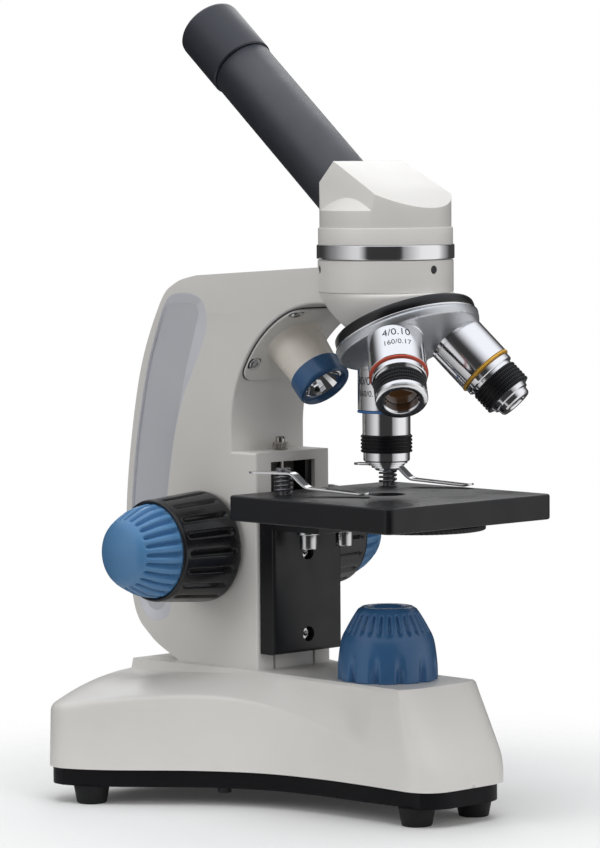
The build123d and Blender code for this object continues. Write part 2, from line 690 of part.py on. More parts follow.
def coarse_knobs():
    """Black tapered knobs with long grip grooves and a lip round the fine knob."""
    web_end = COARSE_END - COARSE_LIP
    bore = COARSE_SHAFT_R + RUN_GAP
    lip = FINE_R + PANEL_GAP
    knob = turned([
        (bore, COARSE_START), (COARSE_INNER_R - 1.5, COARSE_START), (COARSE_INNER_R, COARSE_START + 2.0),
        (COARSE_OUTER_R, COARSE_END - 1.5), (COARSE_OUTER_R - 0.8, COARSE_END), (lip, COARSE_END),
        (lip, web_end), (lip - COARSE_WALL, web_end), (lip - COARSE_WALL, COARSE_START + COARSE_WALL),
        (bore + HUB_WALL, COARSE_START + COARSE_WALL), (bore + HUB_WALL, web_end), (bore, web_end),
    ])
    lean = math.degrees(math.atan2(COARSE_INNER_R - COARSE_OUTER_R, COARSE_LENGTH))
    length = COARSE_LENGTH * 0.72
    groove = Pos(COARSE_INNER_R, 0, COARSE_START + 2.0) * Rot(0, -lean, 0) * Box(
        2 * GROOVE_DEPTH, GROOVE_WIDTH, length, align=LENGTHWISE)
    return both_sides(knob_place() * (knob - around(COARSE_GROOVE_COUNT, groove)))


def fine_knobs():
    """Blue domed knobs with short flutes round the rim."""
    bore = FINE_SHAFT_R + RUN_GAP
    bore_end = FINE_START + FINE_LENGTH * 0.7
    straight = FINE_START + 2.5
    dome = Spline((FINE_R, straight), (FINE_R * 0.87, straight + FINE_LENGTH * 0.42),
                  (FINE_R * 0.5, FINE_END - 2.5), (0, FINE_END), tangents=[(-0.05, 1), (-1, 0)])
    rim = [(0, bore_end), (bore, bore_end), (bore, FINE_START), (FINE_R, FINE_START), (FINE_R, straight)]
    knob = revolve(side_face(Polyline(*rim), dome, Line((0, FINE_END), (0, bore_end))), Axis.Z)
    flute = Pos(FINE_R + FLUTE_R * 0.35, 0, straight - 0.5) * Rot(0, -17, 0) * Cylinder(
        FLUTE_R, FINE_LENGTH * 0.5, align=LENGTHWISE)
    return both_sides(knob_place() * (knob - around(FINE_FLUTE_COUNT, flute)))


def coarse_shaft():
    """Hollow shaft that carries the coarse knobs and the pinion."""
    length = 2 * (COARSE_END - COARSE_LIP - PANEL_GAP)
    return drive_bore(COARSE_SHAFT_R, length) - drive_bore(FINE_SHAFT_R + RUN_GAP, length + CUT_OVER)


def fine_shaft():
    """Solid shaft through the coarse shaft, between the fine knobs."""
    return drive_bore(FINE_SHAFT_R, 2 * (FINE_START + FINE_LENGTH * 0.7 - PANEL_GAP))


def focus_bushes():
    """Plain bearings of the coarse shaft in the arm's side walls."""
    inner = CHANNEL_WIDTH / 2
    bush = knob_place() * tube(BUSH_R, COARSE_SHAFT_R + RUN_GAP, inner, ARM_HALF)
    return both_sides(bush)


def stop_screw():
    """Knurled screw on the shelf whose tip limits the carriage's rise."""
    head = rod(STOP_HEAD_R, SHELF_Z + PANEL_GAP, SHELF_Z + STOP_HEAD)
    head -= around(18, Pos(STOP_HEAD_R, 0, SHELF_Z) * Box(0.5, 0.5, 4 * STOP_HEAD))
    return Pos(STOP_X, 0, 0) * (head + rod(STOP_R, CHANNEL_TOP_Z - STOP_REACH, SHELF_Z + PANEL_GAP))


def stage_bracket():
    """Black angle: an upright plate on the carriage and a shelf under the stage."""
    half = BRACKET_WIDTH / 2
    low_shelf = STAGE_LOW_Z - SHELF_THICK
    bracket = block(BRACKET_BACK_X, BRACKET_FRONT_X, -half, half, BRACKET_LOW_Z, STAGE_LOW_Z)
    bracket = fillet(bracket.edges().filter_by(Axis.Z).sort_by(Axis.X)[-2:], 1.5)
    bracket += block(BRACKET_FRONT_X - 2.0, SHELF_FRONT_X, -half, half, low_shelf, STAGE_LOW_Z)
    bracket -= at_stage_bolts(rod(STAGE_BOLT_R + SEAT_GAP, low_shelf - CUT_OVER, STAGE_LOW_Z + CUT_OVER))
    for z in BRACKET_SCREWS_Z:
        bracket -= bracket_screw(z, BRACKET_SCREW_R + SEAT_GAP, CUT_OVER)
    return bracket


def at_stage_bolts(shape):
    """Copies of an upright piece at the two bolts between shelf and stage."""
    x, y = STAGE_BOLT
    return [Pos(x, side * y, 0) * shape for side in (-1, 1)]


def bracket_screw(z, radius, over):
    """Screw, or its counterbore, sunk in the front of the upright plate."""
    place = Pos(BRACKET_BACK_X, 0, z) * Rot(0, 90, 0)
    return place * rod(radius, BRACKET_THICK / 3, BRACKET_THICK - 2.0 + 4 * over)


def stage_screws():
    """Two bolts with washers under the shelf, and two screws sunk in the upright plate."""
    low_shelf = STAGE_LOW_Z - SHELF_THICK
    head_top = low_shelf - WASHER_THICK
    bolt = rod(WASHER_R, head_top, low_shelf) + rod(STAGE_BOLT_HEAD_R, head_top - STAGE_BOLT_HEAD, head_top)
    bolt += rod(STAGE_BOLT_R, low_shelf, STAGE_LOW_Z + STAGE_THICK / 2)
    bolt -= rod(STAGE_BOLT_R, head_top - STAGE_BOLT_HEAD - CUT_OVER, head_top - STAGE_BOLT_HEAD / 2)
    sunk = [bracket_screw(z, BRACKET_SCREW_R, 0.0) for z in BRACKET_SCREWS_Z]
    return Compound(at_stage_bolts(bolt) + sunk)


def stage_plate():
    """Square stage with its light hole, post holes and bolt holes."""
    plan = Pos(STAGE_X, 0, STAGE_LOW_Z) * RectangleRounded(STAGE_SIZE, STAGE_SIZE, STAGE_CORNER_R)
    stage = extrude(plan, amount=STAGE_THICK)
    stage = chamfer(stage.edges().group_by(Axis.Z)[-1], 0.8)
    under = STAGE_LOW_Z - CUT_OVER
    over = STAGE_TOP_Z + CUT_OVER
    blind = STAGE_LOW_Z + STAGE_THICK / 2 + PANEL_GAP
    stage -= rod(APERTURE_R, under, over)
    stage -= [Pos(POST_X, side * POST_Y, 0) * rod(POST_R + RUN_GAP, under, over) for side in (-1, 1)]
    stage -= at_stage_bolts(rod(STAGE_BOLT_R + SEAT_GAP, under, blind))
    return stage - Pos(DISC_X, 0, 0) * rod(DISC_PIVOT_R + SEAT_GAP, under, blind)


def disc_diaphragm():
    """Turning disc under the stage with a ring of light holes, the largest on the axis."""
    top = STAGE_LOW_Z - DISC_DROP
    disc = rod(DISC_R, top - DISC_THICK, top) - rod(DISC_PIVOT_R + RUN_GAP, 0, top + CUT_OVER)
    step = 360 / len(DISC_HOLES_R)
    for index, radius in enumerate(DISC_HOLES_R):
        hole = Pos(-DISC_X, 0, 0) * rod(radius, top - DISC_THICK - CUT_OVER, top + CUT_OVER)
        disc -= Rot(0, 0, index * step) * hole
    return Pos(DISC_X, 0, 0) * disc


def diaphragm_pivot():
    """Shoulder screw that holds the disc up against the stage."""
    top = STAGE_LOW_Z - DISC_DROP - DISC_THICK - SLIDE_GAP
    screw = rod(DISC_HEAD_R, top - 1.6, top) + rod(DISC_PIVOT_R, top, STAGE_LOW_Z + STAGE_THICK / 2)
    return Pos(DISC_X, 0, 0) * screw


def clip_plane():
    """Upright plane along the near clip, from its post towards the light hole."""
    turn = math.radians(CLIP_TURN)
    along = (math.cos(turn), math.sin(turn), 0)
    return Plane(origin=(POST_X, -POST_Y, 0), x_dir=along, z_dir=(along[1], -along[0], 0))


def clip_strip():
    """Flat spring-steel finger: level tail, steep bend, then a long slope to its tip."""
    line = [
        (-CLIP_TAIL, CLIP_Z), (CLIP_BEND, CLIP_Z), (CLIP_FOOT, STAGE_TOP_Z + CLIP_FOOT_RISE),
        (CLIP_REACH, STAGE_TOP_Z + CLIP_TIP_RISE),
    ]
    low_line = [(s, z - CLIP_THICK) for s, z in reversed(line)]
    side = make_face(Polyline(*line, *low_line, close=True))
    strip = clip_plane() * Pos(0, 0, -CLIP_WIDTH / 2) * extrude(side, amount=CLIP_WIDTH, dir=(0, 0, 1))
    rounded = Pos((CLIP_REACH - CLIP_TAIL) / 2, 0, STAGE_TOP_Z) * extrude(
        SlotOverall(CLIP_REACH + CLIP_TAIL, CLIP_WIDTH), amount=2 * CLIP_RISE)
    strip &= Pos(POST_X, -POST_Y, 0) * Rot(0, 0, CLIP_TURN) * rounded
    return strip - Pos(POST_X, -POST_Y, 0) * rod(POST_R + SEAT_GAP, STAGE_TOP_Z, CLIP_Z + CUT_OVER)


def clip_post():
    """Headed pin that turns in the stage and carries the clip and its spring."""
    post = rod(POST_R, STAGE_LOW_Z + SLIDE_GAP, CLIP_Z + PANEL_GAP)
    post += rod(POST_HEAD_R, CLIP_Z + PANEL_GAP, CLIP_Z + PANEL_GAP + POST_HEAD)
    return Pos(POST_X, -POST_Y, 0) * post


def coil_points():
    """Quarter-turn points and directions of the clip spring's centre line."""
    low = STAGE_TOP_Z + PANEL_GAP + SPRING_WIRE_R
    high = CLIP_Z - CLIP_THICK - PANEL_GAP - SPRING_WIRE_R
    quarters = 4 * SPRING_TURN_COUNT
    climb = (high - low) / (2 * math.pi * SPRING_TURN_COUNT)
    places = []
    for index in range(quarters + 1):
        turn = index * math.pi / 2
        point = Vector(SPRING_R * math.cos(turn), SPRING_R * math.sin(turn), low + climb * turn)
        heading = Vector(-SPRING_R * math.sin(turn), SPRING_R * math.cos(turn), climb).normalized()
        places.append((point, heading))
    return places


def biarc(start, heading, end, end_heading):
    """Two arcs that leave one point and reach the next in the given directions."""
    chord = end - start
    both = heading + end_heading
    a = 2 * (heading.dot(end_heading) - 1)
    b = -2 * chord.dot(both)
    c = chord.dot(chord)
    reach = (-b - math.sqrt(b * b - 4 * a * c)) / (2 * a)
    middle = (start + end + (heading - end_heading) * reach) * 0.5
    if reach < 0:
        reach = (-b + math.sqrt(b * b - 4 * a * c)) / (2 * a)
        middle = (start + end + (heading - end_heading) * reach) * 0.5
    return [TangentArc(start, middle, tangent=heading), TangentArc(end, middle, tangent=end_heading * -1)]


def clip_spring():
    """Coil spring round the post, one unbroken wire."""
    places = coil_points()
    arcs = []
    for (start, heading), (end, end_heading) in zip(places, places[1:]):
        arcs += biarc(start, heading, end, end_heading)
    path = Wire(arcs)
    first, heading = places[0]
    wire = sweep(Plane(origin=first, z_dir=heading) * Circle(SPRING_WIRE_R), path=path)
    samples = [path.position_at(index / 400) for index in range(401)]
    half_turn = 400 // (2 * SPRING_TURN_COUNT)
    spans = [(samples[j] - samples[i]).length for i in range(401) for j in range(i + half_turn, 401)]
    print("clip spring least gap to itself", round(min(spans) - 2 * SPRING_WIRE_R, 2))
    return Pos(POST_X, -POST_Y, 0) * wire


def turret_plane():
    """Plane at the crossing point whose height runs down the turret's axis."""
    tilt = math.radians(TURRET_TILT)
    twist = math.radians(TURRET_TWIST)
    down = (math.sin(tilt) * math.cos(twist), math.sin(tilt) * math.sin(twist), -math.cos(tilt))
    return Plane(origin=(0, 0, APEX_Z), z_dir=down)


def objective_plane():
    """Plane at the crossing point whose height runs down the optical axis."""
    return Plane(origin=(0, 0, APEX_Z), x_dir=(1, 0, 0), z_dir=(0, 0, -1))


def at_station(shape, station):
    """An objective piece turned about the turret's axis to its place: 0, 1 or 2."""
    plane = turret_plane()
    return (objective_plane() * shape).rotate(Axis(plane.origin, plane.z_dir), station * OBJECTIVE_STEP)


def turret_body():
    """Satin dome with three bored seats for the objectives."""
    ring_inner = GRIP_RING_R - GRIP_RING_WALL - SEAT_GAP
    rim = TURRET_TOP + GRIP_RING_THICK
    side_end = rim + TURRET_SIDE
    core = turret_core()
    dome = turret_plane() * turned([
        (0, TURRET_TOP), (ring_inner, TURRET_TOP), (ring_inner, rim), (TURRET_R - 0.7, rim),
        (TURRET_R, rim + 1.0), (TURRET_R - 0.8, side_end), (TURRET_CORE_R, core), (0, core),
    ])
    below_ring = turret_plane() * rod(TURRET_R, rim, 2 * SHOULDER_AT)
    for station in range(3):
        dome += at_station(rod(BOSS_FLANGE_R, 0, SHOULDER_AT), station) & below_ring
    for station in range(3):
        dome -= at_station(rod(BOSS_FLANGE_R, SHOULDER_AT, 2 * SHOULDER_AT), station)
        dome -= at_station(rod(BORE_R, 0, 2 * SHOULDER_AT), station)
    bore = turret_plane() * rod(PIVOT_R + RUN_GAP, TURRET_TOP - CUT_OVER, 2 * SHOULDER_AT)
    return dome - bore


def turret_core():
    """Distance down the turret's axis to the flat in its middle."""
    tilt = math.tan(math.radians(TURRET_TILT))
    return TURRET_TOP + GRIP_RING_THICK + TURRET_SIDE + (TURRET_R - TURRET_CORE_R) * tilt * 0.72


def turret_ring():
    """Black ribbed ring that the fingers turn."""
    ring = tube(GRIP_RING_R, GRIP_RING_R - GRIP_RING_WALL, TURRET_TOP, TURRET_TOP + GRIP_RING_THICK)
    return turret_plane() * ring


def nosepiece_mount():
    """White bowl under the socket, with the light bore and the turret's pivot pin."""
    seat = turret_plane()
    top = Pos(0, 0, SOCKET_LOW_Z) * Circle(SOCKET_R - PANEL_GAP)
    low = seat * Pos(0, 0, TURRET_TOP - PANEL_GAP) * Circle(MOUNT_LOW_R)
    centre = (low.center() + top.center()) * 0.5
    middle = Plane(origin=centre, z_dir=Vector(0, 0, 1) - seat.z_dir) * Circle(MOUNT_MIDDLE_R)
    mount = loft([low, middle, top])
    mount -= rod(LIGHT_R, 0, SOCKET_LOW_Z + CUT_OVER)
    pin = seat * rod(PIVOT_R, TURRET_TOP - PIVOT_R, turret_core() + SLIDE_GAP)
    nut = seat * rod(PIVOT_NUT_R, turret_core() + SLIDE_GAP, turret_core() + SLIDE_GAP + PIVOT_NUT)
    return mount + pin + nut


def objective_barrel(corners):
    """Chrome barrel below the shoulder, through (radius, distance) corners of its neck."""
    top = [(BORE_R, SHOULDER_AT), (BARREL_R, SHOULDER_AT), (BARREL_R, BARREL_END)]
    return turned(top + corners)


def low_barrel():
    """Barrel of the low power objective, with a wide open front."""
    ring_in = NECK_R - FRONT_RIM
    return objective_barrel([
        (NECK_R, BARREL_END), (NECK_R, LOW_GRIP[1]), (GRIP_R - 0.2, LOW_GRIP[1]),
        (GRIP_R - 0.2, LOW_END - 0.8), (GRIP_R - 1.0, LOW_END), (ring_in, LOW_END), (BORE_R, LOW_GRIP[1]),
    ])


def mid_barrel():
    """Barrel of the middle power objective, stepped in at the nose."""
    return objective_barrel([
        (NECK_R, BARREL_END), (NECK_R, MID_GRIP[1]), (MID_NOSE_R + 1.6, MID_GRIP[1]), (MID_NOSE_R, MID_END),
        (MID_NOSE_R - FRONT_RIM, MID_END), (MID_NOSE_R - FRONT_RIM, MID_GRIP[1]), (BORE_R, BARREL_END),
    ])


def high_neck_end():
    """Distance to the end of the high power neck, inside its grip, clear of the risen nose."""
    return HIGH_GRIP[1] - NOSE_TRAVEL - NOSE_OVERLAP


def high_barrel():
    """Barrel of the high power objective, open below for its sprung nose."""
    return objective_barrel([
        (NECK_R, BARREL_END), (NECK_R, high_neck_end()), (HIGH_STEM_R + RUN_GAP, high_neck_end()),
        (HIGH_STEM_R + RUN_GAP, HIGH_GRIP[0]), (BORE_R, HIGH_GRIP[0] - NOSE_TRAVEL),
    ])


def sprung_nose():
    """Nose of the high power objective, which slides up if it meets a slide."""
    start = HIGH_GRIP[1] - NOSE_OVERLAP + PANEL_GAP
    return turned([
        (HIGH_TIP_R - TIP_WALL, HIGH_GRIP[0]), (HIGH_STEM_R, HIGH_GRIP[0]), (HIGH_STEM_R, start),
        (HIGH_NOSE_R, start), (HIGH_NOSE_R, HIGH_COLLAR), (HIGH_TIP_R, HIGH_END),
        (HIGH_TIP_R - TIP_WALL, HIGH_END),
    ])


def colour_band(neck_end):
    """Painted ring at the foot of a barrel."""
    return tube(BAND_R, NECK_R + SEAT_GAP, BARREL_END, min(BARREL_END + BAND_WIDTH, neck_end))


def objective_grips():
    """Black milled grip on each objective."""
    grips = []
    for station, (low, high) in enumerate((HIGH_GRIP, LOW_GRIP, MID_GRIP)):
        grip = tube(GRIP_R, NECK_R + SEAT_GAP, low, high)
        pitch = (high - low) / 4
        for index in range(1, 4):
            at = low + index * pitch
            grip -= tube(GRIP_R + CUT_OVER, GRIP_R - 0.35, at - 0.25, at + 0.25)
        grips.append(at_station(grip, LENS_STATIONS[station]))
    return Compound(grips)


def objective_lenses():
    """Front lenses of the low and middle power objectives."""
    low_seat = LOW_GRIP[1] - LENS_THICK - CUT_OVER
    low_lens = rod(BORE_R - SEAT_GAP, low_seat, low_seat + LENS_THICK)
    mid_r = MID_NOSE_R - FRONT_RIM - SEAT_GAP
    mid_lens = rod(mid_r, MID_END - LENS_THICK - PANEL_GAP, MID_END - PANEL_GAP)
    return Compound([at_station(low_lens, LENS_STATIONS[1]), at_station(mid_lens, LENS_STATIONS[2])])


# High power stands on the optical axis, low power towards the near side, middle power towards the far side
LENS_STATIONS = (0, 2, 1)


def eye_plane():
    """Plane where the light folds, whose height runs up the eyepiece tube."""
    tilt = math.radians(EYE_TILT)
    return Plane(origin=(0, 0, FOLD_Z), x_dir=(math.cos(tilt), 0, math.sin(tilt)),
                 z_dir=(-math.sin(tilt), 0, math.cos(tilt)))


def head_ring():
    """Chrome collar with the spigot that turns in the arm's socket."""
    collar = tube(HEAD_RING_R, LIGHT_R, SOCKET_TOP_Z + SLIDE_GAP, HEAD_RING_TOP_Z)
    return collar + tube(SPIGOT_R, LIGHT_R, SOCKET_TOP_Z - SPIGOT_DEPTH, SOCKET_TOP_Z + SLIDE_GAP)


def rear_face():
    """Distance up the eyepiece axis of the head's rear slope, through the ridge."""
    tilt = math.radians(EYE_TILT)
    return -RIDGE_X * math.sin(tilt) + (RIDGE_Z - FOLD_Z) * math.cos(tilt)


def prism_box(gap):
    """Space of the prism, or the pocket round it."""
    half = PRISM_SIZE / 2 + gap
    low = HEAD_RING_TOP_Z + HEAD_WALL - gap
    return block(-half, half, -half, half, low, low + PRISM_SIZE * 0.85 + 2 * gap)


def head_housing():
    """Prism housing: round below, two flat cheeks, a sloping roof and a slanted rear face."""
    high = RIDGE_Z + CUT_OVER
    body = rod(HEAD_R, HEAD_RING_TOP_Z, high)
    low = HEAD_RING_TOP_Z
    shoulder = turned([(0, low), (HEAD_R, low), (HEAD_R, HEAD_SHOULDER_Z), (0, HEAD_SHOULDER_Z + HEAD_R)])
    lean = math.tan(math.radians(HEAD_FACET_LEAN))
    low_half = HEAD_FACET_HALF + lean * (RIDGE_Z - low)
    top_half = HEAD_FACET_HALF - lean * CUT_OVER
    front = Polyline((-low_half, low), (low_half, low), (top_half, high), (-top_half, high), close=True)
    cheeks = extrude(Plane.YZ * make_face(front), amount=2 * HEAD_R, both=True)
    body &= shoulder + cheeks
    slope = math.radians(ROOF_SLOPE)
    roof = Plane(origin=(RIDGE_X, 0, RIDGE_Z), x_dir=(math.cos(slope), 0, -math.sin(slope)),
                 z_dir=(math.sin(slope), 0, math.cos(slope)))
    big = 6 * HEAD_R
    body -= roof * Box(big, big, big, align=LENGTHWISE)
    body -= eye_plane() * Pos(0, 0, rear_face()) * Box(big, big, big, align=LENGTHWISE)
    groove_low = HEAD_GROOVE_Z - HEAD_GROOVE
    body -= tube(HEAD_R + CUT_OVER, HEAD_R - HEAD_GROOVE, groove_low, HEAD_GROOVE_Z + HEAD_GROOVE)
    body -= rod(LIGHT_R, HEAD_RING_TOP_Z - CUT_OVER, HEAD_RING_TOP_Z + 2 * HEAD_WALL)
    body -= prism_box(SEAT_GAP)
    body -= eye_plane() * rod(TUBE_R + SEAT_GAP, TUBE_START - PANEL_GAP, 2 * TUBE_END)
    return body - eye_plane() * rod(LIGHT_R, 0, TUBE_START)


def prism():
    """Glass block that folds the light towards the eyepiece."""
    lean = math.radians((90 + EYE_TILT) / 4)
    corner = (PRISM_SIZE / 2 - CUT_OVER, 0, HEAD_RING_TOP_Z + PRISM_SIZE * 0.55)
    mirror_plane = Plane(origin=corner, x_dir=(0, 1, 0), z_dir=(math.cos(lean), 0, math.sin(lean)))
    big = 6 * PRISM_SIZE
    return prism_box(0.0) - mirror_plane * Box(big, big, big, align=LENGTHWISE)


def eyepiece_tube():
    """Black sloping tube pressed into the head."""
    return eye_plane() * tube(TUBE_R, TUBE_BORE_R, TUBE_START, TUBE_END)


def eyepiece_barrel():
    """Bright sleeve of the eyepiece that slides in the tube."""
    outer = TUBE_BORE_R - RUN_GAP
    top = TUBE_END + PANEL_GAP
    return eye_plane() * tube(outer, outer - EYE_BARREL_WALL, TUBE_END - EYE_BARREL_DEPTH, top)


def eyepiece_cap():
    """Black eye-end of the eyepiece with its viewing hole."""
    start = TUBE_END + PANEL_GAP
    end = start + EYE_CAP_LENGTH
    rest = EYE_HOLE_R + EYE_LENS_SEAT
    lens_seat = end - EYE_LENS_THICK - 2 * EYE_CAP_EDGE
    return eye_plane() * turned([
        (rest, start), (EYE_CAP_R - 0.4, start), (EYE_CAP_R, start + 0.4), (EYE_CAP_R, end - EYE_CAP_EDGE),
        (EYE_CAP_R - EYE_CAP_EDGE, end), (EYE_HOLE_R + 2.0, end), (EYE_HOLE_R, end - 2.0),
        (EYE_HOLE_R, lens_seat + EYE_LENS_THICK), (rest, lens_seat + EYE_LENS_THICK),
    ])


def eyepiece_lens():
    """Eye lens seated behind the viewing hole."""
    end = TUBE_END + PANEL_GAP + EYE_CAP_LENGTH
    low = end - EYE_LENS_THICK - 2 * EYE_CAP_EDGE
    return eye_plane() * rod(EYE_HOLE_R + EYE_LENS_SEAT - SEAT_GAP, low, low + EYE_LENS_THICK)


def lamp_plane():
    """Plane at the arch's centre whose height runs out along the lamp."""
    angle = math.radians(LAMP_ANGLE)
    return Plane(origin=(ARCH_X, 0, ARCH_Z), x_dir=(0, 1, 0), z_dir=(math.cos(angle), 0, math.sin(angle)))


def arch_cylinder(radius, length):
    """Cylinder across the arm on the arch's centre line."""
    return Pos(ARCH_X, 0, ARCH_Z) * Rot(90, 0, 0) * Cylinder(radius, length)


def lamp_plate():
    """Curved cover in the corner of the arch, under the lamp."""
    outer = ARCH_R - SEAT_GAP
    inner = outer - LAMP_PLATE_THICK
    edges = []
    for radius in (outer, inner):
        points = []
        for angle in (LAMP_PLATE_FROM, (LAMP_PLATE_FROM + LAMP_PLATE_TO) / 2, LAMP_PLATE_TO):
            turn = math.radians(angle)
            points.append((ARCH_X + radius * math.cos(turn), ARCH_Z + radius * math.sin(turn)))
        edges.append(points)
    face = side_face(ThreePointArc(*edges[0]), Line(edges[0][2], edges[1][2]),
                     ThreePointArc(*edges[1]), Line(edges[1][0], edges[0][0]))
    plate = slab(face, LAMP_PLATE_WIDTH / 2)
    for plane in lamp_screw_places():
        plate -= plane * rod(SCREW_R + SEAT_GAP, inner - CUT_OVER, ARCH_R + CUT_OVER)
        plate -= plane * rod(SCREW_HEAD_R + SEAT_GAP, inner - CUT_OVER, inner + LAMP_SCREW_HEAD)
    return plate


def lamp_screws():
    """Four screws through the lamp plate into the arch."""
    face = ARCH_R - SEAT_GAP - LAMP_PLATE_THICK
    head_end = face + LAMP_SCREW_HEAD
    screw = rod(SCREW_HEAD_R, face, head_end)
    screw += rod(SCREW_R, head_end, ARCH_R + SCREW_REACH)
    return Compound([plane * screw for plane in lamp_screw_places()])


def lamp_housing():
    """White tube that stands on the curved plate."""
    base_r = ARCH_R - SEAT_GAP - LAMP_PLATE_THICK - SEAT_GAP
    start = LAMP_FRONT + BEZEL_LENGTH
    housing = lamp_plane() * tube(LAMP_TUBE_R, LAMP_TUBE_R - LAMP_WALL, start, ARCH_R)
    return housing & arch_cylinder(base_r, ARM_WIDTH)


def lamp_bezel():
    """Blue rim round the lamp's mouth."""
    mouth = LAMP_TUBE_R - LAMP_WALL
    end = LAMP_FRONT + BEZEL_LENGTH
    return lamp_plane() * turned([
        (mouth + 0.6, LAMP_FRONT), (BEZEL_R - 1.4, LAMP_FRONT), (BEZEL_R, LAMP_FRONT + 1.4),
        (BEZEL_R, end), (mouth, end), (mouth, LAMP_FRONT + 2.0),
    ])


def lamp_reflector():
    """Bright funnel behind the bezel that throws the light forward."""
    mouth = LAMP_TUBE_R - LAMP_WALL - SEAT_GAP
    start = LAMP_FRONT + 2.0
    end = LAMP_FRONT + BEZEL_LENGTH + FUNNEL_NECK
    wall = 1.0
    throat = LED_R + SEAT_GAP
    return lamp_plane() * turned([
        (mouth, start), (mouth - wall, start), (throat, end - wall), (throat, end), (mouth, end)])


def lamp_led():
    """Light-emitting diode in the throat of the funnel."""
    end = LAMP_FRONT + BEZEL_LENGTH + FUNNEL_NECK
    dome = [(0, end - 2 * LED_R), (LED_R * 0.7, end - 1.6 * LED_R), (LED_R, end - LED_R)]
    return lamp_plane() * turned(dome + [(LED_R, end), (0, end)])


def illuminator_cap():
    """Blue lamp cap: long flutes round the skirt, short grooves round the shoulder, a hole on top."""
    outside = [
        (CAP_R, 0), (CAP_R - 0.2, CAP_WAIST * 0.4), (CAP_WAIST_R, CAP_WAIST), (CAP_SHOULDER_R, CAP_SHOULDER),
        (CAP_TOP_R, CAP_HEIGHT - 0.6), (CAP_TOP_R - 0.8, CAP_HEIGHT), (CAP_HOLE_R, CAP_HEIGHT)]
    inside = [
        (CAP_HOLE_R, CAP_HEIGHT - CAP_WALL), (CAP_SHOULDER_R - CAP_WALL, CAP_SHOULDER - CAP_WALL),
        (CAP_WAIST_R - CAP_WALL, CAP_WAIST - CAP_WALL), (CAP_R - CAP_WALL, 0)]
    cap = turned(outside + inside)
    flute = Pos(CAP_R + CAP_FLUTE_R * 0.55, 0, -CUT_OVER) * Rot(0, -5, 0) * Cylinder(
        CAP_FLUTE_R, CAP_WAIST * 0.9, align=LENGTHWISE)
    lean = math.degrees(math.atan2(CAP_WAIST_R - CAP_SHOULDER_R, CAP_SHOULDER - CAP_WAIST))
    groove = Pos(CAP_WAIST_R + 0.3, 0, CAP_WAIST) * Rot(0, -lean, 0) * Cylinder(
        CAP_GROOVE_R, (CAP_SHOULDER - CAP_WAIST) * 1.05, align=LENGTHWISE)
    cap -= around(CAP_FLUTE_COUNT, flute)
    return Pos(0, 0, DECK_Z) * (cap - around(CAP_GROOVE_COUNT, groove))


def illuminator_lens():
    """Domed lens seated in the cap's hole."""
    top = CAP_HEIGHT - 0.8
    low = CAP_HEIGHT - CAP_WALL
    edge = CAP_HOLE_R - SEAT_GAP
    dome = [(edge, low + 0.6), (edge * 0.6, top - 0.3), (0, top)]
    return Pos(0, 0, DECK_Z) * turned([(0, low), (edge, low)] + dome)


def illuminator_board():
    """Round board on the deck with the lamp's light-emitting diode."""
    board = rod(CAP_R - CAP_WALL - CUT_OVER, DECK_Z, DECK_Z + BOARD_THICK)
    return board + rod(LED_R, DECK_Z + BOARD_THICK, DECK_Z + BOARD_THICK + 2 * LED_R)


NODES = {
    "base_shell": base_shell(),
    "bottom_plate": bottom_plate(),
    "rubber_feet": rubber_feet(),
    "base_screws": base_screws(),
    "battery_tray": battery_tray(),
    "batteries": batteries(),
    "battery_door": battery_door(),
    "power_switch": power_switch(),
    "arm_shell": arm_shell(),
    "accent_panels": accent_panels(),
    "head_set_screws": head_set_screws(),
    "guide_rails": guide_rails(),
    "focus_bushes": focus_bushes(),
    "stop_screw": stop_screw(),
    "nosepiece_mount": nosepiece_mount(),
    "lamp_plate": lamp_plate(),
    "lamp_screws": lamp_screws(),
    "lamp_housing": lamp_housing(),
    "lamp_bezel": lamp_bezel(),
    "lamp_reflector": lamp_reflector(),
    "lamp_led": lamp_led(),
    "illuminator_cap": illuminator_cap(),
    "illuminator_lens": illuminator_lens(),
    "illuminator_board": illuminator_board(),
    "coarse_knobs": coarse_knobs(),
    "coarse_shaft": coarse_shaft(),
    "pinion": pinion(),
    "fine_knobs": fine_knobs(),
    "fine_shaft": fine_shaft(),
    "carriage_block": carriage_block(),
    "rack": rack(),
    "stage_bracket": stage_bracket(),
    "stage_plate": stage_plate(),
    "stage_screws": stage_screws(),
    "diaphragm_pivot": diaphragm_pivot(),
    "disc_diaphragm": disc_diaphragm(),
    "clip_left": clip_strip(),
    "clip_left_post": clip_post(),
    "clip_left_spring": clip_spring(),
    "clip_right": Pos(0, 2 * POST_Y, 0) * clip_strip(),
    "clip_right_post": Pos(0, 2 * POST_Y, 0) * clip_post(),
    "clip_right_spring": Pos(0, 2 * POST_Y, 0) * clip_spring(),
    "turret_body": turret_body(),
    "turret_ring": turret_ring(),
    "objective_low": at_station(low_barrel(), LENS_STATIONS[1]),
    "objective_mid": at_station(mid_barrel(), LENS_STATIONS[2]),
    "objective_high": at_station(high_barrel(), LENS_STATIONS[0]),
    "band_low": at_station(colour_band(LOW_GRIP[0]), LENS_STATIONS[1]),
    "band_mid": at_station(colour_band(MID_GRIP[0]), LENS_STATIONS[2]),
    "band_high": at_station(colour_band(HIGH_GRIP[0]), LENS_STATIONS[0]),
    "objective_grips": objective_grips(),
    "objective_lenses": objective_lenses(),
    "sprung_nose": at_station(sprung_nose(), LENS_STATIONS[0]),
    "head_ring": head_ring(),
    "head_housing": head_housing(),
    "prism": prism(),
    "eyepiece_tube": eyepiece_tube(),
    "eyepiece_barrel": eyepiece_barrel(),
    "eyepiece_cap": eyepiece_cap(),
    "eyepiece_lens": eyepiece_lens(),
}

